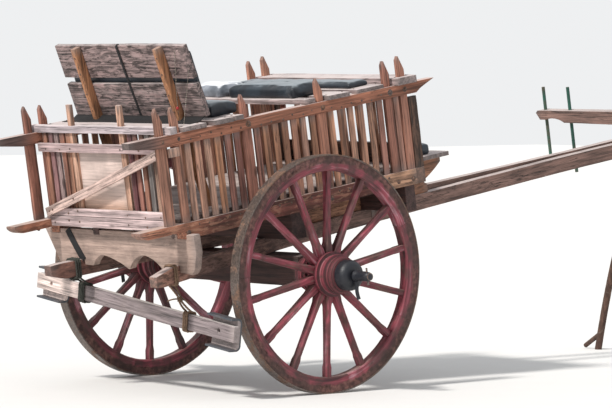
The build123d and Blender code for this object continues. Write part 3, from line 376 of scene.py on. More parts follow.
# Between these radii the hub's black grease fades into its paint
GREASE_REACH = (0.099, 0.110)
# Where dark lines of painted shade lie in the hub's grooves, as shares of its half length
HUB_GROOVES = (0.23, 0.375, 0.52, 0.66, 0.80, 0.93)


def turned_paint(name, paint, bare):
    """Paint on the turned hub: scratched round the axis, black grease where the hub is narrowest, and dark
    lines of painted shade in the grooves.
    """
    s = Shader(name)
    radius, across = wheel_place(s)
    round_place = s.node("ShaderNodeCombineXYZ", i0=s.times(radius, 60.0), i1=s.times(across, 60.0))
    ring = s.noise(round_place, detail=3.0)
    flake = s.noise(s.object_place(), scale=38.0, detail=5.0, roughness=0.65)
    red = s.ramp(ring, (0.38, shade(paint, 0.18)), (0.48, shade(paint, 0.9)), (0.56, paint),
                 (0.66, blend_tones(paint, (0.55, 0.30, 0.32), 0.6)))
    worn = s.band(s.weighed(flake, 0.7, ring, 0.3), 0.54, 0.60)
    tone = s.mix(s.times(worn, 0.8), red, shade(bare, 0.7))
    grease = s.inverse(s.band(s.plus(radius, s.times(flake, 0.012)), *GREASE_REACH))
    tone = s.mix(s.times(grease, 0.5), tone, (0.035, 0.022, 0.018))
    along = s.absolute(s.minus(s.absolute(across), TRACK / 2))
    along = s.plus(along, s.times(s.minus(flake, 0.5), 0.006))
    # Painted shade: a dark line in each groove of the hub
    for share in HUB_GROOVES:
        away = s.absolute(s.minus(along, share * HUB_HALF_LENGTH))
        groove_shade = s.inverse(s.band(away, 0.0015, 0.0050))
        tone = s.mix(s.times(groove_shade, 0.85), tone, shade(paint, 0.10))
    return s.finish(Base_Color=tone, Roughness=s.plus(0.5, s.times(flake, 0.35)),
                    Normal=s.bump(s.plus(flake, ring), 0.5, 0.002))


def worn_iron(name, tone, shine=0.55):
    """Iron polished by the road, with patches of rust."""
    s = Shader(name)
    place = s.object_place()
    coarse = s.noise(place, scale=11.0, detail=5.0, roughness=0.6)
    fine = s.noise(place, scale=95.0, detail=4.0)
    steel = s.ramp(fine, (0.3, shade(tone, 0.55)), (0.7, shade(tone, 1.7)))
    rust = s.band(s.weighed(coarse, 0.7, fine, 0.3), 0.47, 0.60)
    rusty = s.ramp(fine, (0.3, (0.085, 0.035, 0.018)), (0.7, (0.22, 0.105, 0.055)))
    return s.finish(Base_Color=s.mix(s.times(rust, 0.7), steel, rusty),
                    Metallic=s.times(s.inverse(rust), shine),
                    Roughness=s.plus(0.38, s.times(rust, 0.42)),
                    Normal=s.bump(s.plus(fine, coarse), 0.4, 0.0015))


def old_rubber(name, tone, dust=0.35, rough=0.34):
    s = Shader(name)
    place = s.object_place()
    scuff = s.noise(place, scale=60.0, detail=5.0, roughness=0.65)
    cloud = s.noise(place, scale=9.0, detail=4.0)
    dusty = s.times(s.band(s.weighed(cloud, 0.6, scuff, 0.4), 0.45, 0.7), dust)
    dusty = s.plus(dusty, s.times(s.band(s.up_facing(), 0.3, 1.0), dust * 0.35))
    return s.finish(Base_Color=s.mix(dusty, tuple(tone), (0.16, 0.125, 0.120)),
                    Roughness=s.plus(rough, s.times(scuff, 0.35)),
                    Normal=s.bump(s.plus(scuff, s.times(cloud, 2.0)), 0.5, 0.0030))


def vinyl(name, tone, worn=(0.60, 0.68, 0.74), wear=0.30):
    """Upholstery vinyl: fine leather grain, soft sheen, and tops turned bluish pale by dust and by a painted
    sheen of the sky.
    """
    s = Shader(name)
    place = s.object_place()
    pebble = s.node("ShaderNodeTexVoronoi", Vector=place, Scale=330.0)
    crease = s.noise(place, scale=15.0, detail=5.0, roughness=0.6, distortion=0.8)
    cloud = s.noise(place, scale=6.0, detail=3.0)
    base = s.mix(s.band(cloud, 0.42, 0.66), tuple(tone), blend_tones(tone, (0.030, 0.046, 0.062), 0.7))
    # Painted sheen: up-facing faces blend towards the pale bluish worn colour, a painted reflection of the
    # sky, with some dust
    top = s.times(s.band(s.up_facing(), 0.70, 0.98), wear)
    dust = s.times(top, s.plus(0.55, crease))
    base = s.mix(dust, base, worn)
    return s.finish(Base_Color=base, Roughness=s.plus(0.27, s.times(crease, 0.30)),
                    Coat_Weight=0.12, Coat_Roughness=0.30, Specular_IOR_Level=0.40,
                    Normal=s.bump(pebble, 0.22, 0.0006, s.bump(crease, 0.45, 0.004)))


def twisted_rope(name, tone):
    s = Shader(name)
    place = s.object_place()
    hair = s.noise(s.stretch(place, (160.0, 160.0, 420.0)), detail=4.0)
    cloud = s.noise(place, scale=16.0, detail=3.0)
    base = s.ramp(s.weighed(hair, 0.6, cloud, 0.4),
                  (0.32, shade(tone, 0.4)), (0.52, tuple(tone)), (0.70, shade(tone, 1.7)))
    return s.finish(Base_Color=base, Roughness=0.9, Normal=s.bump(hair, 0.8, 0.0015))


def bark(name, tone):
    s = Shader(name)
    place = s.object_place()
    ridge = s.noise(s.stretch(place, (40.0, 40.0, 9.0)), detail=5.0, roughness=0.65, distortion=0.5)
    lichen = s.noise(place, scale=22.0, detail=4.0)
    base = s.ramp(ridge, (0.30, shade(tone, 0.45)), (0.52, tuple(tone)), (0.74, shade(tone, 2.3)))
    base = s.mix(s.times(s.band(lichen, 0.56, 0.70), 0.5), base, (0.26, 0.20, 0.16))
    return s.finish(Base_Color=base, Roughness=0.85, Normal=s.bump(ridge, 0.8, 0.004))


# Meshes and the objects that hold them while they are made

def held(name, data):
    holder = bpy.data.objects.new(name, data)
    bpy.context.scene.collection.objects.link(holder)
    return holder


def evaluated(holder):
    """The mesh that an object's modifiers or its curve make."""
    graph = bpy.context.evaluated_depsgraph_get()
    graph.update()
    return bpy.data.meshes.new_from_object(holder.evaluated_get(graph), depsgraph=graph)


def mesh_from(piece, name):
    mesh = bpy.data.meshes.new(name)
    piece.to_mesh(mesh)
    piece.free()
    return mesh


def mesh_of(name, points, faces=()):
    mesh = bpy.data.meshes.new(name)
    mesh.from_pydata(points, [], list(faces))
    return mesh


def box_of(piece):
    """The low and the high corner of a mesh in the making."""
    return ([min(vert.co[i] for vert in piece.verts) for i in range(3)],
            [max(vert.co[i] for vert in piece.verts) for i in range(3)])


def write_attribute(mesh, name, kind, values):
    field = "vector" if kind == "FLOAT_VECTOR" else "value"
    mesh.attributes.new(name, kind, "POINT").data.foreach_set(field, values)


def smooth(mesh, angle=35.0):
    mesh.polygons.foreach_set("use_smooth", [True] * len(mesh.polygons))
    mesh.set_sharp_from_angle(angle=math.radians(angle))
    mesh.update()


def tube_faces(base, rings, sides):
    """Faces of a closed tube of rings of points, its two ends closed."""
    faces = []
    for i in range(rings - 1):
        for j in range(sides):
            k = (j + 1) % sides
            a, b = base + i * sides, base + (i + 1) * sides
            faces.append((a + j, a + k, b + k, b + j))
    faces.append([base + j for j in reversed(range(sides))])
    faces.append([base + (rings - 1) * sides + j for j in range(sides)])
    return faces


# Wooden pieces, made from the solids: cut across, edges worn, slightly warped

def islands(source):
    """The vertices of each separate solid, in the order of their numbers."""
    seen = set()
    for start in source.verts:
        if start in seen:
            continue
        seen.add(start)
        found, edge = [start], [start]
        while edge:
            for link in edge.pop().link_edges:
                for other in link.verts:
                    if other not in seen:
                        seen.add(other)
                        found.append(other)
                        edge.append(other)
        yield sorted(found, key=lambda vert: vert.index)


def solids_of(node, to_local):
    """The node's solids as clean meshes in the given frame, in a steady order."""
    source = bmesh.new()
    source.from_mesh(NODES[node].data)
    source.transform(to_local)
    bmesh.ops.remove_doubles(source, verts=source.verts, dist=1e-5)
    source.verts.index_update()
    source.faces.index_update()
    pieces = []
    for found in islands(source):
        piece = bmesh.new()
        made = {vert: piece.verts.new(vert.co) for vert in found}
        sides = {face for vert in found for face in vert.link_faces}
        for face in sorted(sides, key=lambda face: face.index):
            piece.faces.new([made[vert] for vert in face.verts])
        bmesh.ops.recalc_face_normals(piece, faces=piece.faces)
        bmesh.ops.dissolve_limit(piece, angle_limit=math.radians(0.6), verts=piece.verts, edges=piece.edges)
        centre = sum((vert.co for vert in piece.verts), Vector()) / len(piece.verts)
        pieces.append((tuple(round(value, 3) for value in centre), piece))
    source.free()
    pieces.sort(key=lambda item: item[0])
    return [piece for centre, piece in pieces]


def longest_axis(piece):
    spans = [high - low for low, high in zip(*box_of(piece))]
    return spans.index(max(spans))


# Edges that turn more than this are rounded
SHARP_EDGE = math.radians(28)


def wear_piece(piece, axis, seed, edge, warp, step):
    """Cuts across the grain, rounds the edges, and lets the wood stray from straight."""
    low, high = (corner[axis] for corner in box_of(piece))
    cuts = int((high - low) / step)
    direction = Vector((0, 0, 0))
    direction[axis] = 1.0
    if edge > 0:
        sharp = [link for link in piece.edges if link.is_manifold and link.calc_face_angle(0) > SHARP_EDGE]
        bmesh.ops.bevel(piece, geom=sharp, offset=edge, segments=2, profile=0.6, affect="EDGES",
                        clamp_overlap=True)
    for i in range(1, cuts):
        place = direction * (low + (high - low) * i / cuts)
        geometry = piece.verts[:] + piece.edges[:] + piece.faces[:]
        bmesh.ops.bisect_plane(piece, geom=geometry, plane_co=place, plane_no=direction, dist=1e-5)
    shift = Vector((seed * 3.7, seed * 1.3, seed * 5.1))
    for vert in piece.verts:
        along = direction * vert.co[axis]
        bend = noise.noise_vector(along * 1.7 + shift) * warp * 1.6
        bend[axis] = 0.0
        chip = noise.noise_vector(vert.co * 22.0 + shift) * warp * 0.55
        vert.co += bend + chip


def finish_mesh(name, pieces, axes, to_world, seeds):
    """One mesh of many pieces, with their grain, tint and distance from the ends."""
    points, faces, grain, tints, ends = [], [], [], [], []
    for piece, axis, seed in zip(pieces, axes, seeds):
        base = len(points)
        piece.verts.index_update()
        low, high = (corner[axis] for corner in box_of(piece))
        tint = random.Random(seed * 977 + 13).random()
        for vert in piece.verts:
            points.append(vert.co.copy())
            grain.extend((vert.co[axis], vert.co[(axis + 1) % 3], vert.co[(axis + 2) % 3]))
            tints.append(tint)
            ends.append(min(vert.co[axis] - low, high - vert.co[axis]))
        faces.extend([[base + vert.index for vert in face.verts] for face in piece.faces])
        piece.free()
    mesh = mesh_of(name, points, faces)
    mesh.transform(to_world)
    write_attribute(mesh, "grain", "FLOAT_VECTOR", grain)
    write_attribute(mesh, "tint", "FLOAT", tints)
    write_attribute(mesh, "ends", "FLOAT", ends)
    smooth(mesh)
    return mesh


def place_piece(name, mesh, finish_name, slot, nodes=(), body="cart"):
    """A finished piece on its body, in the place of the given nodes. A repeat has its material already."""
    piece = held(name, mesh)
    if finish_name:
        mesh.materials.clear()
        mesh.materials.append(finish(finish_name))
    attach(piece, body)
    if nodes:
        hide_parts(*nodes)
    return piece


def worn_copy(node, finish_name, slot, seed, axis=None, to_world=LEVEL, edge=None, warp=None, step=None):
    """A worn wooden piece in the place of a node, with the same form and its grain along the axis."""
    s = sizes()
    edge = s.edge_wear if edge is None else edge
    warp = s.warp if warp is None else warp
    step = s.ring_step if step is None else step
    pieces = solids_of(node, to_world.inverted())
    axes = [longest_axis(piece) if axis is None else axis for piece in pieces]
    seeds = [seed * 101 + i for i in range(len(pieces))]
    for piece, along, number in zip(pieces, axes, seeds):
        wear_piece(piece, along, number, edge, warp, step)
    mesh = finish_mesh(node + "_wood", pieces, axes, to_world, seeds)
    place_piece(node + "_wood", mesh, finish_name, slot, (node,))


# Geometry Nodes

def tree_with(name, sockets):
    tree = bpy.data.node_groups.new(name, "GeometryNodeTree")
    tree.interface.new_socket("Geometry", in_out="INPUT", socket_type="NodeSocketGeometry")
    for label, kind, default in sockets:
        socket = tree.interface.new_socket(label, in_out="INPUT", socket_type=kind)
        if default is not None:
            socket.default_value = default
    tree.interface.new_socket("Geometry", in_out="OUTPUT", socket_type="NodeSocketGeometry")
    return tree


def wire(tree, kind, settings=None, **inputs):
    node = tree.nodes.new(kind)
    for key, value in (settings or {}).items():
        setattr(node, key, value)
    for key, value in inputs.items():
        target = node.inputs[int(key[1:])] if key[0] == "i" and key[1:].isdigit() else node.inputs[key]
        if isinstance(value, bpy.types.NodeSocket):
            tree.links.new(value, target)
        else:
            target.default_value = value
    return node


def repeat_tree(name, ring):
    """Repeats the object's own mesh: round the Y axis, or at the points of another mesh."""
    common = [("Lean", "NodeSocketFloat", 0.0), ("Size Spread", "NodeSocketFloat", 0.0),
              ("Seed", "NodeSocketInt", 1), ("Material", "NodeSocketMaterial", None)]
    if ring:
        own = [("Count", "NodeSocketInt", 14), ("Phase", "NodeSocketFloat", 0.0)]
    else:
        own = [("Places", "NodeSocketObject", None)]
    tree = tree_with(name, own + common)
    given = tree.nodes.new("NodeGroupInput").outputs
    spread = wire(tree, "FunctionNodeRandomValue", {"data_type": "FLOAT_VECTOR"},
                  i0=(-1.0, -1.0, -1.0), i1=(1.0, 1.0, 1.0), Seed=given["Seed"]).outputs[0]
    leaning = wire(tree, "ShaderNodeVectorMath", {"operation": "SCALE"}, i0=spread,
                   Scale=given["Lean"]).outputs[0]
    if ring:
        points = wire(tree, "GeometryNodePoints", i0=given["Count"]).outputs[0]
        index = tree.nodes.new("GeometryNodeInputIndex").outputs[0]
        step = wire(tree, "ShaderNodeMath", {"operation": "DIVIDE"}, i0=math.tau,
                    i1=given["Count"]).outputs[0]
        angle = wire(tree, "ShaderNodeMath", {"operation": "MULTIPLY_ADD"}, i0=index, i1=step,
                     i2=given["Phase"]).outputs[0]
        turn = wire(tree, "ShaderNodeCombineXYZ", i1=angle).outputs[0]
        turn = wire(tree, "ShaderNodeVectorMath", {"operation": "ADD"}, i0=turn, i1=leaning).outputs[0]
    else:
        points = wire(tree, "GeometryNodeObjectInfo", i0=given["Places"]).outputs["Geometry"]
        facing = wire(tree, "GeometryNodeInputNamedAttribute", {"data_type": "FLOAT_VECTOR"},
                      Name="facing").outputs[0]
        turn = wire(tree, "FunctionNodeAlignRotationToVector", {"axis": "Z"},
                    Vector=facing).outputs[0]
        extra = wire(tree, "FunctionNodeEulerToRotation", i0=leaning).outputs[0]
        turn = wire(tree, "FunctionNodeRotateRotation", {"rotation_space": "LOCAL"}, i0=turn,
                    i1=extra).outputs[0]
    grown = wire(tree, "FunctionNodeRandomValue", {"data_type": "FLOAT"}, i2=-1.0, i3=1.0,
                 Seed=given["Seed"]).outputs[1]
    scale = wire(tree, "ShaderNodeMath", {"operation": "MULTIPLY_ADD"}, i0=grown,
                 i1=given["Size Spread"], i2=1.0).outputs[0]
    placed = wire(tree, "GeometryNodeInstanceOnPoints", Points=points, Instance=given["Geometry"],
                  Rotation=turn, Scale=scale).outputs[0]
    tint = wire(tree, "FunctionNodeRandomValue", {"data_type": "FLOAT"}, i2=0.0, i3=1.0,
                Seed=given["Seed"]).outputs[1]
    tinted = wire(tree, "GeometryNodeStoreNamedAttribute", {"data_type": "FLOAT", "domain": "INSTANCE"},
                  Geometry=placed, Name="tint", Value=tint).outputs[0]
    real = wire(tree, "GeometryNodeRealizeInstances", Geometry=tinted).outputs[0]
    coated = wire(tree, "GeometryNodeSetMaterial", Geometry=real, Material=given["Material"]).outputs[0]
    out = tree.nodes.new("NodeGroupOutput")
    tree.links.new(coated, out.inputs[0])
    return tree


def repeated(name, mesh, tree, values, to_world):
    """The mesh that a Geometry Nodes tree makes of a piece, as a plain mesh, each copy with its tint."""
    if "tint" in mesh.attributes:
        mesh.attributes.remove(mesh.attributes["tint"])
    holder = held(name + "_maker", mesh)
    modifier = holder.modifiers.new("Repeat", "NODES")
    modifier.node_group = tree
    by_name = {item.name: item.identifier for item in tree.interface.items_tree
               if item.item_type == "SOCKET" and item.in_out == "INPUT"}
    for label, value in values.items():
        modifier[by_name[label]] = value
    made = evaluated(holder)
    bpy.data.objects.remove(holder)
    made.name = name
    made.transform(to_world)
    smooth(made)
    return made


def places_object(name, rows):
    """Points for a repeat: place and the way that each copy's Z points."""
    mesh = mesh_of(name, [place for place, facing in rows])
    write_attribute(mesh, "facing", "FLOAT_VECTOR", [value for place, facing in rows for value in facing])
    return held(name, mesh)


def worn_bar(size, seed, edge, warp=0.0012, step=0.05):
    """A worn upright bar that stands on zero."""
    across, wide, long = size
    piece = bmesh.new()
    bmesh.ops.create_cube(piece, size=1.0)
    for vert in piece.verts:
        vert.co = Vector((vert.co.x * across, vert.co.y * wide, (vert.co.z + 0.5) * long))
    wear_piece(piece, 2, seed, edge, warp, step)
    return finish_mesh("bar", [piece], [2], STANDING, [seed])


def node_boxes(node, to_local):
    """The low and the high corner of each of the node's solids, in the given frame."""
    boxes = []
    for piece in solids_of(node, to_local):
        boxes.append(box_of(piece))
        piece.free()
    return boxes


# Ropes, cords and turned pieces

def smooth_path(route, step):
    """Points at even steps along the smooth curve whose control points are the route's."""
    curve = bpy.data.curves.new("route", "CURVE")
    curve.dimensions = "3D"
    spline = curve.splines.new("NURBS")
    spline.points.add(len(route) - 1)
    for point, place in zip(spline.points, route):
        point.co = (*place, 1.0)
    spline.order_u = 3
    spline.use_endpoint_u = True
    spline.resolution_u = 12
    holder = held("route", curve)
    made = evaluated(holder)
    fine = [vert.co.copy() for vert in made.vertices]
    bpy.data.objects.remove(holder)
    bpy.data.curves.remove(curve)
    bpy.data.meshes.remove(made)
    path, left = [fine[0]], step
    for a, b in zip(fine, fine[1:]):
        span = (b - a).length
        while span > left:
            a = a + (b - a) * (left / span)
            span -= left
            path.append(a)
            left = step
        left -= span
    return path + [fine[-1]]


def path_length(path):
    return sum((b - a).length for a, b in zip(path, path[1:]))


def swept(name, paths, section, twist=0.0, wide=None):
    """A closed section carried along each path, turned once in every twist of its length.

    The section's zero angle points the wide way, where that is given.
    """
    points, faces = [], []
    for path in paths:
        first = (path[1] - path[0]).normalized()
        normal = Vector(wide) if wide else first.orthogonal().normalized()
        travelled, base = 0.0, len(points)
        for i, place in enumerate(path):
            ahead, behind = path[min(i + 1, len(path) - 1)], path[max(i - 1, 0)]
            along = (ahead - behind).normalized()
            normal = (normal - along * normal.dot(along)).normalized()
            across = along.cross(normal)
            travelled += (place - behind).length
            turn = math.tau * travelled / twist if twist else 0.0
            for radius, angle in section:
                ray = normal * math.cos(angle + turn) + across * math.sin(angle + turn)
                points.append(place + ray * radius)
        faces += tube_faces(base, len(path), len(section))
    mesh = mesh_of(name, points, faces)
    smooth(mesh, 60.0)
    return mesh


def strands(radius, count=3, sides=12):
    """The outline of a rope laid up of strands, as (radius, angle)."""
    angles = [math.tau * i / sides for i in range(sides)]
    return [(radius * (0.76 + 0.24 * abs(math.cos(count / 2 * angle))), angle) for angle in angles]


def flat_section(wide, thick):
    """The outline of a strap, as (radius, angle)."""
    corners = ((wide / 2, thick / 2), (-wide / 2, thick / 2), (-wide / 2, -thick / 2), (wide / 2, -thick / 2))
    return [(math.hypot(a, b), math.atan2(b, a)) for a, b in corners]


def turns(place, along, across, up, half_across, half_up, count, spacing, start=0):
    """Control points of a rope wound round a squared timber, eight to a turn."""
    around = ((0, -1), (-1, -1), (-1, 0), (-1, 1), (0, 1), (1, 1), (1, 0), (1, -1))
    route = []
    for number in range(count * 8 + 1):
        side, height = around[(number + start) % 8]
        corner = 0.0035 if side and height else 0.0
        route.append(place + along * (spacing * (number / 8 - count / 2))
                     + across * (side * (half_across + corner)) + up * (height * (half_up + corner)))
    return route


def turned(name, profile, place, sides=28, folds=0.0, seed=0):
    """A piece turned about Y, from (distance along Y, radius), with soft folds."""
    points = []
    for along, radius in profile:
        for j in range(sides):
            angle = math.tau * j / sides
            ray = Vector((math.cos(angle), 0.0, math.sin(angle)))
            spot = Vector((0.0, along, 0.0)) + ray * radius
            spot += ray * folds * noise.noise(spot * 55.0 + Vector((seed, 0, 0)))
            points.append(place + spot)
    mesh = mesh_of(name, points, tube_faces(0, len(profile), sides))
    outward = bmesh.new()
    outward.from_mesh(mesh)
    bmesh.ops.recalc_face_normals(outward, faces=outward.faces)
    outward.to_mesh(mesh)
    outward.free()
    smooth(mesh, 50.0)
    return mesh


def domed_head(radius, height, sides, square=0.0):
    """A nail's domed head, or with a square part on top a bolt's washer and nut."""
    piece = bmesh.new()
    bmesh.ops.create_cone(piece, cap_ends=True, segments=sides, radius1=radius, radius2=radius * 0.72,
                          depth=height, matrix=Matrix.Translation((0, 0, height / 2)))
    if square:
        bmesh.ops.create_cone(piece, cap_ends=True, segments=4, radius1=square, radius2=square * 0.9,
                              depth=height * 2.2, matrix=Matrix.Translation((0, 0, height * 1.9)))
    return mesh_from(piece, "head")


# The cart's finishes, made once and shared

FINISHES = {}


def make_finishes():
    c = colours()
    tone = {name: tuple(getattr(c, name)) for name in own_names(c)}
    side, tail, pale, grey = tone["side_wood"], tone["tail_wood"], tone["pale_wood"], tone["grey_wood"]
    FINISHES.update({
        "side": wood("Side wood", (0.46, 0.250, 0.180), (0.45, 0.215, 0.120), (0.35, 0.175, 0.130),
                     (0.24, 0.095, 0.075), (0.50, 0.295, 0.215), (0.39, 0.190, 0.115), top_bleach_and_light=0.5),
        "post": wood("Post wood", (0.33, 0.150, 0.100), (0.37, 0.185, 0.125), (0.29, 0.125, 0.088),
                     top_bleach_and_light=0.6, variety=0.3),
        "rail": wood("Rail wood", side, top_bleach_and_light=0.9, variety=0.2, cracks=0.8,
                     zones=((0, AXLE.x - 0.97, (0.095, 0.062, 0.056)),)),
        "stake": wood("Stake wood", (0.42, 0.225, 0.150), (0.46, 0.27, 0.19), top_bleach_and_light=0.8, variety=0.2),
        "sill": wood("Sill wood", (0.33, 0.185, 0.118), top_bleach_and_light=0.7, variety=0.2, dirt=0.5, mottle=0.3,
                     zones=((0, AXLE.x + 0.52, (0.135, 0.045, 0.036)),
                            (0, AXLE.x - 0.66, shade(side, 1.05)))),
        "tail": wood("Tail wood", tail, top_bleach_and_light=0.9, variety=0.25, dirt=0.25),
        "tail_board": wood("Tail board wood", (0.34, 0.247, 0.243), top_bleach_and_light=0.8, variety=0.25, dirt=0.3,
                           zones=((2, AXLE.z + 0.47, (0.50, 0.378, 0.370)),)),
        "tail_slats": wood("Tail slat wood", (0.17, 0.062, 0.055), (0.29, 0.140, 0.085), (0.14, 0.043, 0.046),
                           (0.30, 0.28, 0.26), (0.34, 0.170, 0.100), (0.16, 0.050, 0.054), top_bleach_and_light=0.3),
        "panel": wood("Panel wood", (0.62, 0.49, 0.44), cracks=0.2, top_bleach_and_light=0.2, variety=0.1, contrast=0.35,
                      dirt=0.25, zones=((2, AXLE.z + 0.36, (0.56, 0.32, 0.20)),)),
        "brace": wood("Brace wood", (0.37, 0.268, 0.235), variety=0.2, contrast=1.5, mottle=0.25),
        # Painted shade: the bolster's tone is the pale wood times 0.66, for the shade under the overhang
        # above it
        "bolster": wood("Bolster wood", shade(pale, 0.66), cracks=0.3, contrast=0.5, top_bleach_and_light=0.5, variety=0.2,
                        dirt=0.35, mottle=0.14),
        # Painted shade: beam and shoes are darker at y below 0.45, where the bolster shades them
        "pale": wood("Pale wood", (0.625, 0.505, 0.46), top_bleach_and_light=0.6, variety=0.2, dirt=0.3,
                     zones=((1, 0.45, (0.200, 0.163, 0.166)),)),
        "grey": wood("Grey plank wood", shade(grey, 1.5), shade(grey, 1.9), shade(grey, 1.1), contrast=1.3,
                     top_bleach_and_light=0.95),
        "back": wood("Backrest wood", (0.176, 0.124, 0.119), (0.232, 0.178, 0.170), contrast=1.7,
                     cracks=1.0, top_bleach_and_light=0.7, variety=0.3, relief=2.6, dirt=0.8, grey_ends=0.2, mottle=0.95),
        "corner": wood("Corner board wood", (0.085, 0.045, 0.030), (0.070, 0.040, 0.028), contrast=1.6,
                       top_bleach_and_light=0.4, relief=1.8, mottle=0.5, dirt=0.5),
        "batten": wood("Batten wood", shade(tone["batten_wood"], 1.12), shade(tone["batten_wood"], 0.85),
                       cracks=0.5, top_bleach_and_light=0.2, dirt=0.3),
        "shaft": wood("Shaft wood", tone["shaft_wood"], top_bleach_and_light=0.9, variety=0.15, dirt=0.35,
                      zones=((0, AXLE.x - 0.70, (0.36, 0.190, 0.140)),)),
        # Painted shade: the far shaft's wood is the near one's with its tail darker, as that tail lies in
        # shade
        "shaft_far": wood("Far shaft wood", tone["shaft_wood"], top_bleach_and_light=0.9, variety=0.15, dirt=0.35,
                          zones=((0, AXLE.x - 0.70, (0.155, 0.072, 0.054)),)),
        "cheek": wood("Cheek wood", (0.26, 0.125, 0.075), top_bleach_and_light=0.6, variety=0.2),
        "under": wood("Underframe wood", tone["under_wood"], top_bleach_and_light=0.2, grey_ends=0.2),
        "floor": wood("Floor board wood", (0.16, 0.105, 0.085), (0.24, 0.17, 0.14), top_bleach_and_light=0.7, variety=0.5),
        "red": painted_wood("Wheel paint", tone["red_paint"], (0.12, 0.065, 0.055), wear=0.6),
        "red_rim": painted_wood("Rim paint", shade(tone["red_paint"], 1.15), (0.12, 0.07, 0.06), wear=0.5,
                                dirt_from=WHEEL_RADIUS - 0.050),
        "hub": turned_paint("Hub paint", tone["red_paint"], (0.10, 0.06, 0.045)),
        "iron": worn_iron("Worn iron", tone["iron"]),
        "rust": worn_iron("Rusty iron", (0.085, 0.060, 0.052), shine=0.3),
        "lining": old_rubber("Lining rubber", (0.045, 0.054, 0.066), dust=0.55),
        "cap": old_rubber("Cap rubber", tone["rubber"], dust=0.09, rough=0.30),
        "vinyl": vinyl("Cushion vinyl", tone["vinyl"]),
        # Pale cushion; its whitish top is a painted sheen with dust
        "vinyl_pale": vinyl("Rubbed vinyl", (0.27, 0.29, 0.33), worn=(0.84, 0.86, 0.88), wear=0.85),
        "rope": twisted_rope("Rope", tone["rope"]),
        "dark_rope": twisted_rope("Mossy rope", (0.042, 0.044, 0.036)),
        "twine": twisted_rope("Twine", (0.62, 0.54, 0.46)),
        "red_twine": twisted_rope("Red twine", (0.40, 0.045, 0.045)),
        # Black straps, and the sheet of painted shade at the backrest's foot
        "cloth": old_rubber("Black cloth", (0.007, 0.007, 0.008), dust=0.03, rough=0.65),
        "pin": painted_wood("Pin paint", tone["pin_paint"], (0.20, 0.13, 0.08), wear=0.2),
        "bark": bark("Bark", tone["bark"]),
    })


def finish(name):
    if name not in FINISHES:
        make_finishes()
    return FINISHES[name]


def dress(node, finish_name):
    """A CAD node whose shape is right keeps it and gets the finish."""
    mesh = NODES[node].data
    mesh.materials.clear()
    mesh.materials.append(finish(finish_name))


# Wheels

RIM_DEPTH = 0.079
RIM_HALF = 0.03125
TYRE = 0.007
SPOKE_COUNT = 14
FELLOE_COUNT = 7
HUB_RADIUS = 0.108


def lofted(piece, rings):
    """Joins rings of corners to a closed bar, its faces outward."""
    for a, b in zip(rings, rings[1:]):
        for i in range(len(a)):
            j = (i + 1) % len(a)
            piece.faces.new((a[i], a[j], b[j], b[i]))
    piece.faces.new(rings[0])
    piece.faces.new(list(reversed(rings[-1])))
    bmesh.ops.recalc_face_normals(piece, faces=piece.faces)


def felloe_mesh():
    """One felloe about the Y axis, its inner edges chamfered and worn."""
    outer = WHEEL_RADIUS - TYRE - 0.0005
    inner = outer - RIM_DEPTH
    cut, half = 0.006, RIM_HALF - 0.0003
    section = [(inner, -half + cut), (inner + cut, -half), (outer - 0.002, -half), (outer, -half + 0.002),
               (outer, half - 0.002), (outer - 0.002, half), (inner + cut, half), (inner, half - cut)]
    span = math.tau / FELLOE_COUNT - 0.0018
    count = 26
    piece = bmesh.new()
    rings = []
    for i in range(count + 1):
        angle = span * i / count
        ring = []
        for radius, across in section:
            spot = Vector((radius * math.sin(angle), across, radius * math.cos(angle)))
            wander = noise.noise(spot * 9.0) * 0.0016 + noise.noise(spot * 38.0) * 0.0007
            if radius < inner + 2 * cut:
                spot *= 1 + wander / radius
            ring.append(piece.verts.new(spot))
        rings.append(ring)
    lofted(piece, rings)
    mesh = mesh_from(piece, "felloe")
    grain, ends = [], []
    for vert in mesh.vertices:
        radius = math.hypot(vert.co.x, vert.co.z)
        arc = math.atan2(vert.co.x, vert.co.z)
        grain.extend((arc * 0.6, radius, vert.co.y))
        ends.append(min(arc, span - arc) * radius)
    write_attribute(mesh, "grain", "FLOAT_VECTOR", grain)
    write_attribute(mesh, "ends", "FLOAT", ends)
    return mesh


def spoke_mesh():
    """One spoke along Z: square at hub and rim, its corners cut away between."""
    inner = HUB_RADIUS + 0.0005
    outer = WHEEL_RADIUS - TYRE - RIM_DEPTH - 0.0008
    # height, width, depth and chamfer
    stations = (
        (inner, 0.0415, 0.0475, 0.002), (inner + 0.035, 0.0405, 0.0465, 0.002),
        (inner + 0.062, 0.0395, 0.0455, 0.0095), (inner + 0.12, 0.0375, 0.0445, 0.0105),
        (inner + 0.18, 0.036, 0.043, 0.0105), (inner + 0.24, 0.035, 0.042, 0.0105),
        (outer - 0.075, 0.0335, 0.0405, 0.0095), (outer - 0.048, 0.0335, 0.0405, 0.002),
        (outer, 0.0318, 0.0398, 0.002),
    )
    piece = bmesh.new()
    rings = []
    for z, wide, deep, cut in stations:
        x, y = wide / 2, deep / 2
        corners = [(-x, -y + cut), (-x + cut, -y), (x - cut, -y), (x, -y + cut),
                   (x, y - cut), (x - cut, y), (-x + cut, y), (-x, y - cut)]
        ring = []
        for cx, cy in corners:
            spot = Vector((cx, cy, z))
            spot += noise.noise_vector(spot * 26.0) * 0.0007
            ring.append(piece.verts.new(spot))
        rings.append(ring)
    lofted(piece, rings)
    return finish_mesh("spoke", [piece], [2], STANDING, [3])


# A rubber boot over each spindle's end, from (distance past the wheel's middle, radius)
BOOT = ((0.224, 0.0225), (0.228, 0.029), (0.236, 0.031), (0.243, 0.0275), (0.275, 0.0262), (0.310, 0.0255),
        (0.326, 0.0245), (0.3375, 0.0205), (0.3435, 0.0130), (0.3450, 0.004))
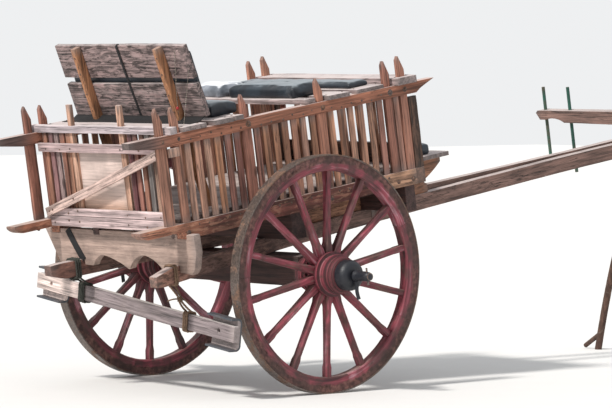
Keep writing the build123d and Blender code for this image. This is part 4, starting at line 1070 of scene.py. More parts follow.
# A strap that hangs from the boot, from the spindle's line at its place past the wheel's middle
BOOT_STRAP = ((0.0, 0.0, -0.020), (0.002, 0.003, -0.045), (-0.004, 0.009, -0.075), (0.003, 0.010, -0.105),
              (0.008, 0.014, -0.122))
BOOT_STRAP_OUT, BOOT_STRAP_WIDE, BOOT_STRAP_THICK = 0.232, 0.022, 0.004


def build_boots():
    for side, sign in (("right", -1), ("left", 1)):
        profile = [(sign * along, radius) for along, radius in BOOT]
        mesh = turned("spindle_boot_" + side, profile, Vector((AXLE.x, sign * TRACK / 2, AXLE.z)),
                      folds=0.0022, seed=sign)
        place_piece(mesh.name, mesh, "cap", "rubber")
        out = sign * (TRACK / 2 + BOOT_STRAP_OUT)
        route = [Vector((AXLE.x + x, out + sign * y, AXLE.z + z)) for x, y, z in BOOT_STRAP]
        section = flat_section(BOOT_STRAP_WIDE, BOOT_STRAP_THICK)
        mesh = swept("boot_strap_" + side, [smooth_path(route, 0.008)], section, wide=(1, 0, 0))
        place_piece(mesh.name, mesh, "cap", "rubber")


def build_wheels():
    ring = repeat_tree("Ring of pieces", True)
    felloe, spoke = felloe_mesh(), spoke_mesh()
    # The felloes' joints stand half way between spokes
    first = math.pi / FELLOE_COUNT + math.pi / SPOKE_COUNT
    for side, sign in (("right", -1), ("left", 1)):
        centre = Matrix.Translation((AXLE.x, sign * TRACK / 2, AXLE.z))
        if sign < 0:
            centre = centre @ Matrix.Rotation(math.pi, 4, "Z")
        for name, mesh, count, phase, seed, finish_name, node in (
                ("rim_" + side + "_felloes", felloe, FELLOE_COUNT, first, 3 + sign, "red_rim", "rim_" + side),
                ("wheel_" + side + "_spokes", spoke, SPOKE_COUNT, 0.0, 11 + sign, "red", "spokes_" + side)):
            values = {"Count": count, "Phase": phase, "Seed": seed, "Material": finish(finish_name)}
            made = repeated(name, mesh, ring, values, centre)
            place_piece(name, made, None, "red_wood", (node,), "wheel_" + side)
        dress("hub_" + side, "hub")
        dress("hub_cap_" + side, "cap")
        dress("iron_tyre_" + side, "iron")


# Side walls, gate and front: slats by Geometry Nodes, the rest worn from the solids

def row_of(name, mesh, places, values, finish_name, slot, to_world=LEVEL, nodes=()):
    """Copies of a mesh at the places, by Geometry Nodes, as one piece of the cart."""
    tree = bpy.data.node_groups.get("Row of pieces") or repeat_tree("Row of pieces", False)
    holder = places_object(name + "_places", places)
    made = repeated(name, mesh, tree, {"Places": holder, "Material": finish(finish_name), **values}, to_world)
    bpy.data.objects.remove(holder)
    place_piece(name, made, None, slot, nodes)


def slats(node, finish_name, slot, seed, lean):
    boxes = node_boxes(node, LEVEL.inverted())
    low, high = boxes[0]
    size = tuple(high[i] - low[i] - 0.0005 for i in range(3))
    bar = worn_bar(size, seed, 0.0028, warp=0.0016)
    places = [(((a[0] + b[0]) / 2, (a[1] + b[1]) / 2, a[2]), (0, 0, 1)) for a, b in boxes]
    row_of(node + "_row", bar, places, {"Lean": lean, "Seed": seed}, finish_name, slot, nodes=(node,))


def build_side_walls():
    for i, side in enumerate(("right", "left")):
        slats("side_slats_" + side, "side", "side_wood", 21 + i, 0.006)
        worn_copy("side_posts_" + side, "post", "side_wood", axis=2, seed=30 + i, edge=0.004)
        worn_copy("top_rail_" + side, "rail", "side_wood", axis=0, seed=40 + i, edge=0.004)
        worn_copy("sill_" + side, "sill", "side_wood", axis=0, seed=50 + i, edge=0.004)


def build_tail_gate():
    slats("gate_slats", "tail_slats", "tail_wood", 67, 0.010)
    worn_copy("gate_top_rail", "tail", "tail_wood", axis=1, seed=62)
    worn_copy("gate_stakes", "stake", "tail_wood", axis=2, seed=63)
    worn_copy("gate_boards", "tail_board", "tail_wood", axis=1, seed=64)
    worn_copy("gate_panel", "panel", "tail_wood", axis=1, seed=65, edge=0.0015)
    worn_copy("gate_brace", "brace", "tail_wood", axis=1, to_world=ALONG_BRACE, seed=66)


def build_front_wall():
    slats("front_slats", "side", "side_wood", 71, 0.008)
    worn_copy("front_boards", "corner", "grey_wood", seed=72, warp=0.004, step=0.03)
    worn_copy("front_beam", "cheek", "side_wood", axis=1, seed=73)


def build_planks():
    worn_copy("cross_planks", "grey", "grey_wood", axis=1, seed=81, warp=0.0028)
    worn_copy("backrest_boards", "back", "grey_wood", axis=1, seed=82, warp=0.003, edge=0.005)
    worn_copy("backrest_battens", "batten", "batten_wood", axis=2, seed=83, edge=0.006)
    worn_copy("floor_boards", "floor", "under_wood", axis=1, seed=84)
    worn_copy("driver_seat", "grey", "grey_wood", axis=1, seed=85)
    worn_copy("driver_brackets", "cheek", "side_wood", axis=0, seed=86)
    build_twine()
    build_shade_strip()
    build_straps()


# Two strings of twine behind the backrest, in the level frame, and a red knot on the first
TWINE_ROUTES = (
    ((-0.598, -0.470, 1.298), (-0.592, -0.452, 1.200), (-0.572, -0.408, 1.040), (-0.563, -0.390, 0.966),
     (-0.560, -0.390, 0.925), (-0.558, -0.390, 0.896)),
    ((-0.578, -0.540, 1.171), (-0.600, -0.543, 1.095), (-0.640, -0.547, 0.975), (-0.662, -0.550, 0.896)),
)
TWINE_KNOT_PLACE = (-0.5635, -0.390, 0.966)
# Each knot's radius and height, over three turns
KNOT_TURNS = 3
TWINE_KNOT, HANGER_KNOT = (0.0058, 0.014), (0.014, 0.026)

# A black strap down the back of the boards, in the backrest's frame, and a strip on the bolster's
# rear face, in the level frame
BACK_STRAP = ((0.016, 0.010, 0.4010), (-0.0035, 0.010, 0.4015), (-0.0040, 0.007, 0.385),
              (-0.0045, 0.000, 0.200), (-0.0040, -0.011, 0.006))
BOLSTER_STRIP = ((-0.7600, 0.430, 0.340), (-0.7602, 0.385, 0.265), (-0.7600, 0.318, 0.176))
# Their widths and thicknesses
BACK_STRAP_SIZE, BOLSTER_STRIP_SIZE = (0.014, 0.003), (0.045, 0.0022)
WALL_BLOCK = (0.066, 0.020, 0.046)
WALL_BLOCK_PLACE = (-0.775, -0.5835, 0.752)


def build_straps():
    """The strap on the backrest, the dark strip on the bolster and the block on the right wall."""
    for name, frame_of, places, step, size, slot in (
            ("back_strap", LEANING, BACK_STRAP, 0.010, BACK_STRAP_SIZE, "vinyl"),
            ("bolster_strip", LEVEL, BOLSTER_STRIP, 0.012, BOLSTER_STRIP_SIZE, "rubber")):
        path = smooth_path([frame_of @ Vector(place) for place in places], step)
        place_piece(name, swept(name, [path], flat_section(*size), wide=(0, 1, 0)), "cloth", slot)
    mesh = worn_bar(WALL_BLOCK, 141, 0.004, step=0.02)
    mesh.transform(LEVEL @ Matrix.Translation(WALL_BLOCK_PLACE))
    place_piece("wall_block", mesh, "stake", "side_wood")


def build_twine():
    radius = sizes().twine_radius
    for number, route in enumerate(TWINE_ROUTES):
        path = smooth_path([LEVEL @ Vector(place) for place in route], 0.010)
        mesh = swept("twine_%d" % number, [path], strands(radius, 2, 8), twist=0.020)
        string = place_piece(mesh.name, mesh, "twine", "rope")
        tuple(path[0])
        path_length(path)
    coil = knot_coil(LEVEL @ Matrix.Translation(TWINE_KNOT_PLACE), *TWINE_KNOT)
    mesh = swept("twine_knot", [coil], strands(0.0034, 2, 8), twist=0.020)
    place_piece(mesh.name, mesh, "red_twine", "rope")


# A black strip that lies on the rear plank, against the backrest's foot, in the level frame: a dark sheet put
# there as painted shade
SHADE_STRIP_HALF, SHADE_STRIP_COLUMNS = 0.545, 64
SHADE_STRIP_PROFILE = ((-0.618, 0.8950), (-0.600, 0.8948), (-0.578, 0.8952), (-0.556, 0.8965), (-0.540, 0.9010),
                 (-0.527, 0.9090), (-0.518, 0.9150))
SHADE_STRIP_THICK = 0.0025


def build_shade_strip():
    """The painted-shade strip as a thin sheet with soft ripples."""
    points, faces = [], []
    for i in range(SHADE_STRIP_COLUMNS + 1):
        y = SHADE_STRIP_HALF * (2 * i / SHADE_STRIP_COLUMNS - 1)
        for x, z in SHADE_STRIP_PROFILE:
            ripple = noise.noise(Vector((x * 14, y * 9, 3.0)))
            points.append(Vector((x + 0.006 * ripple, y, z + 0.0030 * abs(ripple))))
    count = len(SHADE_STRIP_PROFILE)
    for i in range(SHADE_STRIP_COLUMNS):
        for j in range(count - 1):
            a = i * count + j
            faces.append((a, a + count, a + count + 1, a + 1))
    mesh = mesh_of("backrest_cloth", points, faces)
    mesh.transform(LEVEL)
    smooth(mesh, 80.0)
    # The black cloth finish here is painted shade at the backrest's foot
    cloth = place_piece(mesh.name, mesh, "cloth", "vinyl")
    thick = cloth.modifiers.new("Thickness", "SOLIDIFY")
    thick.thickness = SHADE_STRIP_THICK
    thick.offset = 1.0
    deep = path_length([Vector((x, 0, z)) for x, z in SHADE_STRIP_PROFILE])


# An iron strap round each shaft and the cheek on it
IRON_STRAP_X, IRON_STRAP_WIDE, IRON_STRAP_THICK, IRON_STRAP_GAP = 0.845, 0.026, 0.003, 0.0015


def spans_at(node, x):
    """Each solid's (low, high) across and upwards, where a plane across the cart cuts it."""
    spans = []
    for piece in solids_of(node, LEVEL.inverted()):
        everything = piece.verts[:] + piece.edges[:] + piece.faces[:]
        cut = bmesh.ops.bisect_plane(piece, geom=everything, plane_co=(x, 0, 0), plane_no=(1, 0, 0))
        cut = cut["geom_cut"]
        spots = [item.co for item in cut if isinstance(item, bmesh.types.BMVert)]
        spans.append([(min(spot[i] for spot in spots), max(spot[i] for spot in spots)) for i in (1, 2)])
        piece.free()
    return spans


def build_iron_straps():
    cheeks = spans_at("shaft_cheeks", IRON_STRAP_X)
    for side in ("right", "left"):
        cheek = [span for span in cheeks if (span[0][0] > 0) == (side == "left")][0]
        shaft = spans_at("shaft_" + side, IRON_STRAP_X)[0]
        seat = IRON_STRAP_THICK / 2 + IRON_STRAP_GAP
        low = [min(cheek[i][0], shaft[i][0]) - seat for i in (0, 1)]
        high = [max(cheek[i][1], shaft[i][1]) + seat for i in (0, 1)]
        start = Vector((IRON_STRAP_X, (low[0] + high[0]) / 2, low[1]))
        corners = [Vector((IRON_STRAP_X, y, z)) for y, z in
                   (low, (low[0], high[1]), high, (high[0], low[1]), low)]
        route = [start]
        for corner, following in zip(corners, corners[1:]):
            route += [corner + (following - corner) * share for share in (0.0, 0.0, 0.04, 0.5, 0.96)]
        path = smooth_path([LEVEL @ place for place in route + [corners[-1], start]], 0.004)
        section = flat_section(IRON_STRAP_WIDE, IRON_STRAP_THICK)
        mesh = swept("iron_strap_" + side, [path], section, wide=LEVEL.to_3x3() @ Vector((1, 0, 0)))
        place_piece(mesh.name, mesh, "rust", "iron")


def build_underframe():
    for i, (side, finish_name) in enumerate((("right", "shaft"), ("left", "shaft_far"))):
        worn_copy("shaft_" + side, finish_name, "shaft_wood", axis=0, seed=90 + i, edge=0.006, step=0.12)
    worn_copy("axle_beam", "under", "under_wood", axis=1, seed=93, edge=0.008)
    worn_copy("bolsters", "under", "under_wood", axis=1, seed=94)
    worn_copy("floor_stringers", "under", "under_wood", axis=0, seed=95)
    worn_copy("shaft_cheeks", "cheek", "side_wood", axis=0, seed=96)
    worn_copy("rear_bolster", "bolster", "valance_wood", axis=1, seed=97, edge=0.005)
    for node in ("spindles", "linchpins", "prop_pin"):
        dress(node, "iron")
    build_boots()
    build_iron_straps()


ROPE_RADIUS = 0.006
ROPE_TWIST = 0.050
# From the wood to the rope's middle
ROPE_SEAT = ROPE_RADIUS + 0.001
BEAM_X, BEAM_MIDDLE_Z = -0.685, 0.447
BEAM_HALF_THICK, BEAM_HALF_DEEP = 0.016, 0.041
SHAFT_HALF_THICK, SHAFT_HALF_DEEP, SHAFT_MIDDLE_Z = 0.030, 0.0425, 0.1375
TAIL_ROPE_X = -0.795
# side, the shaft tail's place across, the place on the beam, turns on the tail and on the beam, finish
HANGERS = (("left", 0.3654, 0.430, 3, 4, "dark_rope"), ("right", -0.4645, -0.455, 2, 3, "rope"))
# Where the rope rises from the beam, and where it ends at the shaft's tail, from its last and first turns
HANGER_RISE, HANGER_END = Vector((-0.020, 0.012, 0.018)), Vector((-0.012, -0.004, -0.004))
# For each loose end of the right hanger's knot, its middle and its tip, from the knot
LOOSE_ENDS = (((-0.030, 0.024, 0.004), (-0.050, 0.040, -0.012)),
              ((0.020, -0.016, 0.000), (0.034, -0.028, -0.020)))


def hanger_route(tail_y, beam_y, tail_turns, beam_turns, knotted):
    """From the shaft's tail down to the beam, round it, and back up; and the place of its knot, if any.

    A knotted hanger has both runs drawn together at a knot below the middle.
    """
    lean = LEVEL.to_3x3()
    tail = LEVEL @ Vector((TAIL_ROPE_X, tail_y, SHAFT_MIDDLE_Z))
    beam = Vector((AXLE.x + BEAM_X, beam_y, BEAM_MIDDLE_Z + BEAM_SLOPE * beam_y))
    slope = math.atan(BEAM_SLOPE)
    upper = turns(tail, lean @ Vector((1, 0, 0)), Vector((0, 1, 0)), lean @ Vector((0, 0, 1)),
                  SHAFT_HALF_THICK + 0.004 + ROPE_SEAT, SHAFT_HALF_DEEP + ROPE_SEAT, tail_turns,
                  2.2 * ROPE_RADIUS)
    lower = turns(beam, Vector((0, math.cos(slope), math.sin(slope))), Vector((1, 0, 0)),
                  Vector((0, -math.sin(slope), math.cos(slope))), BEAM_HALF_THICK + ROPE_SEAT,
                  BEAM_HALF_DEEP + ROPE_SEAT, beam_turns, 2.2 * ROPE_RADIUS, start=4)
    rise, end = lower[-1] + HANGER_RISE, upper[0] + HANGER_END
    middle, other_middle = (upper[-1] + lower[0]) / 2, (rise + end) / 2
    if not knotted:
        return upper + [middle] + lower + [rise, other_middle + Vector((0, 0.010, -0.004)), end], None
    waist = (middle + other_middle) / 2 + Vector((0, 0, -0.006))
    apart, along = Vector((ROPE_RADIUS, 0, 0)), Vector((0, 0, 0.012))
    down = [waist + apart + along, waist + apart - along]
    up = [waist - apart - along, waist - apart + along]
    return upper + down + lower + [rise] + up + [end], waist


def knot_coil(place, radius, high):
    """A few turns round the Z axis of a place, widest in the middle."""
    coil, count = [], KNOT_TURNS * 10
    for i in range(count + 1):
        angle = math.tau * i / 10
        reach = radius * (0.55 + 0.45 * math.sin(math.pi * i / count))
        spot = Vector((reach * math.cos(angle), reach * math.sin(angle), high * (i / count - 0.5)))
        coil.append(place @ spot)
    return coil


def build_hanger_knot(waist):
    """The turns at the waist and the two loose ends that stick out of them."""
    paths = [knot_coil(Matrix.Translation(waist), *HANGER_KNOT)]
    for half, full in LOOSE_ENDS:
        paths.append(smooth_path([waist, waist + Vector(half), waist + Vector(full)], 0.004))
    mesh = swept("hanger_knot", paths, strands(0.0045, 3, 8), twist=0.030)
    place_piece(mesh.name, mesh, "rope", "rope")


def build_brake():
    worn_copy("brake_beam", "pale", "brake_wood", axis=1, to_world=ALONG_BEAM, seed=101, edge=0.004)
    worn_copy("brake_shoes", "pale", "brake_wood", axis=0, to_world=STANDING, seed=102)
    dress("brake_linings", "lining")
    for side, tail_y, beam_y, tail_turns, beam_turns, finish_name in HANGERS:
        route, waist = hanger_route(tail_y, beam_y, tail_turns, beam_turns, side == "right")
        paths = [smooth_path(route, 0.005)]
        mesh = swept("hanger_rope_" + side, paths, strands(ROPE_RADIUS), twist=ROPE_TWIST)
        place_piece(mesh.name, mesh, finish_name, "rope", ("brake_hangers",))
        if waist:
            build_hanger_knot(waist)


YOKE_X, YOKE_HALF, YOKE_TOP, YOKE_SHAFT_Y, SHAFT_LOW = 3.210, 0.037, 0.316, 0.0573, 0.095
LASHING_TURNS, LASHING_WAIST = 3, 0.22


def lashing_route(side):
    """Turns over the yoke and under the shaft, on both sides of the yoke."""
    route = []
    far, top, low = side * (SHAFT_HALF_THICK + ROPE_SEAT), YOKE_TOP + ROPE_SEAT, SHAFT_LOW - ROPE_SEAT
    for number in range(LASHING_TURNS):
        spread = number * 2.1 * ROPE_RADIUS
        x, near_top = YOKE_HALF + ROPE_SEAT + 0.0008 + spread, far - side * spread
        for way in (1, -1):
            for across, z in ((near_top, top), (far, LASHING_WAIST), (far, low), (0.0, low - 0.001),
                              (-far, low), (-far, LASHING_WAIST), (-near_top, top)):
                route.append((YOKE_X + way * x, side * YOKE_SHAFT_Y + way * across, z))
            route.append((YOKE_X, side * YOKE_SHAFT_Y - way * near_top, top + 0.002))
    return [LEVEL @ Vector(place) for place in route]


def build_yoke():
    worn_copy("yoke", "shaft", "shaft_wood", axis=1, seed=111, edge=0.010)
    worn_copy("yoke_saddle", "shaft", "shaft_wood", axis=1, seed=112, edge=0.006)
    dress("yoke_pins", "pin")
    paths = [smooth_path(lashing_route(side), 0.005) for side in (-1, 1)]
    mesh = swept("yoke_lashing_rope", paths, strands(ROPE_RADIUS), twist=ROPE_TWIST)
    place_piece(mesh.name, mesh, "rope", "rope", ("yoke_lashing",))
    dress("prop_stick", "bark")


# Nails and bolts, where the boards meet the frame

POST_PLACES = (-0.840, -0.735, -0.270, 0.245, 0.725, 0.832)
GATE_FACE, BRACE_FACE = -0.8122, -0.8322
GATE_ROWS = (0.788, 0.444, 0.394)
GATE_NAILS = (0.462, 0.335, 0.245, -0.180, -0.335, -0.462)
BRACE_NAILS = ((0.470, 0.450), (0.440, 0.459), (0.245, 0.523), (-0.180, 0.661), (-0.470, 0.756),
               (-0.500, 0.765))
# Rear edge, front edge and half length of each cross plank, and how far in its nails stand
PLANK_ENDS = ((-0.708, -0.555, 0.600), (-0.497, -0.374, 0.604), (-0.366, -0.302, 0.598),
              (0.140, 0.212, 0.575), (0.278, 0.430, 0.604), (0.500, 0.690, 0.580))
PLANK_NAIL_IN, PLANK_NAIL_ASIDE = 0.042, 0.022
PLANK_TOP, FRONT_PLANK_TOP = 0.8932, 0.9082
FRONT_PLANK_NAILS, FRONT_PLANK_NAIL_OUT = (0.795, 0.875), 0.560
# The outer faces of rails and sills, and the heights of the nails and bolts in them
RAIL_FACE, SILL_FACE = 0.5882, 0.5752
RAIL_NAILS, SILL_NAILS, WALL_NAIL_COUNT = 0.828, 0.380, 21
RAIL_BOLTS, SILL_BOLTS = 0.838, 0.352
BATTEN_PLACES, BATTEN_FACE = (0.338, -0.360), -0.0461
BATTEN_ROWS = (0.045, 0.140, 0.255, 0.345)


def nail_rows():
    """Places and facings of the nail heads, in the level frame."""
    wander = random.Random(7)
    rows = []
    for z in GATE_ROWS:
        for y in GATE_NAILS:
            place = (GATE_FACE, y + wander.uniform(-0.006, 0.006), z + wander.uniform(-0.010, 0.010))
            rows.append((place, (-1, 0, 0)))
    rows += [((BRACE_FACE, y, z), (-1, 0, 0)) for y, z in BRACE_NAILS]
    for low, high, half in PLANK_ENDS:
        for side in (-1, 1):
            for x in (low + PLANK_NAIL_ASIDE, high - PLANK_NAIL_ASIDE):
                place = (x + wander.uniform(-0.008, 0.008), side * (half - PLANK_NAIL_IN), PLANK_TOP)
                rows.append((place, (0, 0, 1)))
    low, high = POST_PLACES[1], POST_PLACES[-2]
    for side in (-1, 1):
        rows += [((x, side * FRONT_PLANK_NAIL_OUT, FRONT_PLANK_TOP), (0, 0, 1)) for x in FRONT_PLANK_NAILS]
        for i in range(1, WALL_NAIL_COUNT):
            x = low + (high - low) * i / WALL_NAIL_COUNT + wander.uniform(-0.008, 0.008)
            rows.append(((x, side * RAIL_FACE, RAIL_NAILS + wander.uniform(-0.010, 0.010)), (0, side, 0)))
            rows.append(((x, side * SILL_FACE, SILL_NAILS + wander.uniform(-0.008, 0.008)), (0, side, 0)))
    return rows


def bolt_rows():
    """Places and facings of the bolts through rails, sills and posts, in the level frame."""
    return [((x, side * face, z), (0, side, 0)) for side in (-1, 1) for x in POST_PLACES
            for face, z in ((RAIL_FACE, RAIL_BOLTS), (SILL_FACE, SILL_BOLTS))]


def build_fastenings():
    s = sizes()
    batten_rows = [((BATTEN_FACE, y, z), (-1, 0, 0)) for y in BATTEN_PLACES for z in BATTEN_ROWS]
    nail = domed_head(s.nail_radius, 0.0022, 10)
    bolt = domed_head(s.bolt_radius, 0.0025, 14, square=s.bolt_radius * 0.62)
    for name, head, rows, to_world, seed in (("nails", nail, nail_rows(), LEVEL, 131),
                                             ("batten_nails", nail, batten_rows, LEANING, 132),
                                             ("bolts", bolt, bolt_rows(), LEVEL, 133)):
        row_of(name, head, rows, {"Lean": 0.06, "Size Spread": 0.25, "Seed": seed}, "rust", "iron", to_world)


# Cushions

# Node, finish, depth of its folds, seed, frame, and the axis that it swells along
CUSHIONS = (
    ("cushion_back", "vinyl", 0.003, 2, LEANING, 0),
    ("cushion_rear", "vinyl", 0.004, 3, LEVEL, 2),
    ("cushion_middle_right", "vinyl", 0.006, 5, LEVEL, 2),
    ("cushion_middle_left", "vinyl_pale", 0.013, 8, LEVEL, 2),
    ("cushion_front", "vinyl", 0.004, 9, LEVEL, 2),
    ("cushion_driver", "vinyl", 0.004, 12, LEVEL, 2),
)
CUSHION_INSET, CUSHION_EDGE = 0.007, 0.008
# At most this share of its thickness is a cushion's swell, and this share of the swell its inset
SWELL_SHARE, SWELL_ROOM = 0.3, 0.7
CLOTH_PRESSURE, CLOTH_STIFFNESS, CLOTH_FRAMES = 4.0, 12.0, 20


def cushion_block(low, high, inset, side):
    """A block smaller than its CAD block, ready to swell, its base where the CAD block's is."""
    size = [high[i] - low[i] for i in range(3)]
    piece = bmesh.new()
    bmesh.ops.create_cube(piece, size=1.0)
    for vert in piece.verts:
        spot = [low[i] + size[i] * (vert.co[i] + 0.5) for i in range(3)]
        for i in range(3):
            spot[i] += -inset[i] if vert.co[i] > 0 else (inset[i] if i != side else 0.0)
        vert.co = spot
    bmesh.ops.bevel(piece, geom=piece.edges[:], offset=CUSHION_EDGE, segments=2, affect="EDGES",
                    clamp_overlap=True)
    holder = held("cushion_maker", mesh_from(piece, "cushion"))
    remesh = holder.modifiers.new("Remesh", "REMESH")
    remesh.mode = "VOXEL"
    remesh.voxel_size = sizes().cushion_voxel
    made = evaluated(holder)
    holder.modifiers.clear()
    holder.data = made
    return holder


def swell(holder, cap, low, side):
    """Cloth under pressure, then each point held within the cap and above what it bears on."""
    cloth = holder.modifiers.new("Cloth", "CLOTH")
    settings = cloth.settings
    settings.use_pressure = True
    settings.uniform_pressure_force = CLOTH_PRESSURE
    settings.effector_weights.gravity = 0.0
    settings.quality = 4
    settings.tension_stiffness = settings.compression_stiffness = CLOTH_STIFFNESS
    scene = bpy.context.scene
    for number in range(1, CLOTH_FRAMES + 1):
        scene.frame_set(number)
    moved = evaluated(holder)
    holder.modifiers.remove(cloth)
    scene.frame_set(1)
    for vert, new in zip(holder.data.vertices, moved.vertices):
        step = new.co - vert.co
        if step.length > cap:
            step *= cap / step.length
        vert.co += step
        vert.co[side] = max(vert.co[side], low[side])
    bpy.data.meshes.remove(moved)


def crumple(holder, low, high, side, depth, seed):
    """Shallow folds in the cover, deepest on top and gone where it bears on its seat."""
    shift = Vector((seed * 2.3, seed * 4.1, seed * 0.7))
    for vert in holder.data.vertices:
        up = max(0.0, min(1.0, (vert.co[side] - low[side]) / (high[side] - low[side])))
        spot = Vector((vert.co.x * 9.0, vert.co.y * 5.0, vert.co.z * 7.0)) + shift
        fold = 1.0 - abs(noise.noise(spot)) * 4.0
        ripple = noise.noise(Vector((vert.co.x * 34.0, vert.co.y * 18.0, vert.co.z * 20.0)) + shift)
        vert.co[side] -= depth * up * (0.85 * max(0.0, fold) + 0.15 * abs(ripple))


def build_cushions():
    for node, finish_name, folds, seed, to_world, side in CUSHIONS:
        low, high = node_boxes(node, to_world.inverted())[0]
        swell_by = min(sizes().cushion_swell, SWELL_SHARE * (high[side] - low[side]))
        inset = [CUSHION_INSET] * 3
        inset[side] = swell_by * SWELL_ROOM
        holder = cushion_block(low, high, inset, side)
        swell(holder, swell_by, low, side)
        crumple(holder, low, high, side, folds, seed)
        mesh = holder.data
        bpy.data.objects.remove(holder)
        mesh.transform(to_world)
        smooth(mesh, 80.0)
        made = place_piece(node + "_cover", mesh, finish_name, "vinyl", (node,))
        finer = made.modifiers.new("Finer", "SUBSURF")
        finer.levels = finer.render_levels = 1


# Stage

CAMERA_PLACE = (-12.5947 + AXLE.x, -15.3266, 1.7338)
CAMERA_YAW, CAMERA_PITCH = 0.7069, -0.0386
SENSOR_WIDTH = 36.0
# The photograph's focal length and width in pixels
CAMERA_LENS = SENSOR_WIDTH * 3700.0 / 612.0
SKY_LIGHT, SKY_STRENGTH = (0.93, 0.96, 1.0), 0.66
BACKDROP = (0.86, 0.87, 0.88)
SUN_STRENGTH, SUN_TONE, SUN_WIDTH = 3.4, (1.0, 0.97, 0.93), math.radians(6)
SUN_TURN = (math.radians(44), 0.0, math.radians(-84))


def build_camera():
    camera = held("photo_camera", bpy.data.cameras.new("photo_camera"))
    camera.data.lens = CAMERA_LENS
    camera.data.sensor_width = SENSOR_WIDTH
    camera.data.clip_end = 200.0
    camera.location = CAMERA_PLACE
    camera.rotation_euler = (math.pi / 2 + CAMERA_PITCH, 0.0, -CAMERA_YAW)
    bpy.context.scene.camera = camera


def build_floor():
    s = Shader("Stage floor")
    tone = tuple(colours().floor)
    speck = s.noise(s.object_place(), scale=3.0, detail=6.0)
    s.finish(Base_Color=s.mix(speck, shade(tone, 0.97), shade(tone, 1.02)), Roughness=0.9)
    piece = bmesh.new()
    bmesh.ops.create_grid(piece, x_segments=2, y_segments=2, size=40.0)
    mesh = mesh_from(piece, "stage_floor")
    mesh.materials.append(s.material)
    held("stage_floor", mesh)


def build_light():
    """A plain sky that lights, a paler backdrop that is seen, and one soft sun."""
    world = bpy.data.worlds.new("Studio")
    bpy.context.scene.world = world
    world.use_nodes = True
    tree = world.node_tree
    tree.nodes.clear()
    light = wire(tree, "ShaderNodeBackground", i0=(*SKY_LIGHT, 1.0), i1=SKY_STRENGTH).outputs[0]
    seen = wire(tree, "ShaderNodeBackground", i0=(*BACKDROP, 1.0), i1=1.0).outputs[0]
    path = tree.nodes.new("ShaderNodeLightPath").outputs
    direct = wire(tree, "ShaderNodeMath", {"operation": "MAXIMUM"}, i0=path["Is Camera Ray"],
                  i1=path["Is Glossy Ray"]).outputs[0]
    choose = wire(tree, "ShaderNodeMixShader", i0=direct, i1=light, i2=seen).outputs[0]
    wire(tree, "ShaderNodeOutputWorld", i0=choose)
    sun = held("key_sun", bpy.data.lights.new("key_sun", "SUN"))
    sun.data.energy = SUN_STRENGTH
    sun.data.angle = SUN_WIDTH
    sun.data.color = SUN_TONE
    sun.rotation_euler = SUN_TURN


def build_stage():
    bpy.context.scene.view_settings.view_transform = "Standard"
    build_camera()
    build_floor()
    build_light()


# Operators, one for each group of pieces and one for the stage

class CART_OT_stage(bpy.types.Operator):
    """Camera at the photograph's angle, floor and light"""
    bl_idname = "cart.stage"
    bl_label = "Stage"

    def execute(self, context):
        build_stage()
        return {"FINISHED"}


class CART_OT_wheels(bpy.types.Operator):
    """Felloes, spokes, hubs, caps and tyres"""
    bl_idname = "cart.wheels"
    bl_label = "Wheels"

    def execute(self, context):
        build_wheels()
        return {"FINISHED"}


class CART_OT_side_walls(bpy.types.Operator):
    """Rails, posts, sills and slats of both sides"""
    bl_idname = "cart.side_walls"
    bl_label = "Side walls"

    def execute(self, context):
        build_side_walls()
        return {"FINISHED"}


class CART_OT_tail_gate(bpy.types.Operator):
    """Rails, slats, boards, panel and brace of the gate"""
    bl_idname = "cart.tail_gate"
    bl_label = "Tail gate"

    def execute(self, context):
        build_tail_gate()
        return {"FINISHED"}


class CART_OT_front_wall(bpy.types.Operator):
    """Front slats, boards and beam"""
    bl_idname = "cart.front_wall"
    bl_label = "Front wall"

    def execute(self, context):
        build_front_wall()
        return {"FINISHED"}


class CART_OT_planks(bpy.types.Operator):
    """Cross planks, backrest, floor and driver's seat"""
    bl_idname = "cart.planks"
    bl_label = "Planks"

    def execute(self, context):
        build_planks()
        return {"FINISHED"}


class CART_OT_underframe(bpy.types.Operator):
    """Shafts, axle beam, bolsters, spindles and their boots"""
    bl_idname = "cart.underframe"
    bl_label = "Underframe"

    def execute(self, context):
        build_underframe()
        return {"FINISHED"}


class CART_OT_brake(bpy.types.Operator):
    """Brake beam with shoes, linings and rope hangers"""
    bl_idname = "cart.brake"
    bl_label = "Brake"

    def execute(self, context):
        build_brake()
        return {"FINISHED"}


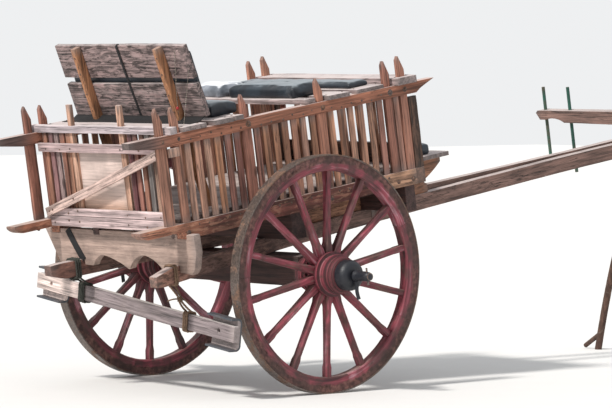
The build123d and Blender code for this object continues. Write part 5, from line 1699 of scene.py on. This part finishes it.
class CART_OT_yoke(bpy.types.Operator):
    """Yoke, pins, rope lashing and prop stick"""
    bl_idname = "cart.yoke"
    bl_label = "Yoke"

    def execute(self, context):
        build_yoke()
        return {"FINISHED"}


class CART_OT_fastenings(bpy.types.Operator):
    """Nail heads and bolts of walls, gate and planks"""
    bl_idname = "cart.fastenings"
    bl_label = "Fastenings"

    def execute(self, context):
        build_fastenings()
        return {"FINISHED"}


class CART_OT_cushions(bpy.types.Operator):
    """Six vinyl cushions, swollen by a cloth simulation"""
    bl_idname = "cart.cushions"
    bl_label = "Cushions"

    def execute(self, context):
        build_cushions()
        return {"FINISHED"}


MAKERS = (CART_OT_stage, CART_OT_wheels, CART_OT_side_walls,
          CART_OT_tail_gate, CART_OT_front_wall, CART_OT_planks,
          CART_OT_underframe, CART_OT_brake, CART_OT_yoke,
          CART_OT_fastenings, CART_OT_cushions)


class CART_PT_panel(bpy.types.Panel):
    """Sizes, colours and makers of the cart"""
    bl_label = "Bullock cart"
    bl_idname = "CART_PT_panel"
    bl_space_type = "VIEW_3D"
    bl_region_type = "UI"
    bl_category = "Cart"

    def draw(self, context):
        for group in (context.scene.cart_sizes, context.scene.cart_colours):
            box = self.layout.box()
            for name in own_names(group):
                box.prop(group, name)
        for made in MAKERS:
            self.layout.operator(made.bl_idname)


CLASSES = (CartSizes, CartColours, *MAKERS, CART_PT_panel)


def register():
    for item in CLASSES:
        bpy.utils.register_class(item)
    bpy.types.Scene.cart_sizes = bpy.props.PointerProperty(type=CartSizes)
    bpy.types.Scene.cart_colours = bpy.props.PointerProperty(type=CartColours)


def unregister():
    del bpy.types.Scene.cart_colours
    del bpy.types.Scene.cart_sizes
    for item in reversed(CLASSES):
        bpy.utils.unregister_class(item)


# Without a seed Blender's noise vectors would be others in each run
NOISE_SEED = 11


def main():
    noise.seed_set(NOISE_SEED)
    register()
    for made in MAKERS:
        group, name = made.bl_idname.split(".")
        getattr(getattr(bpy.ops, group), name)()


if __name__ == "__main__":
    main()
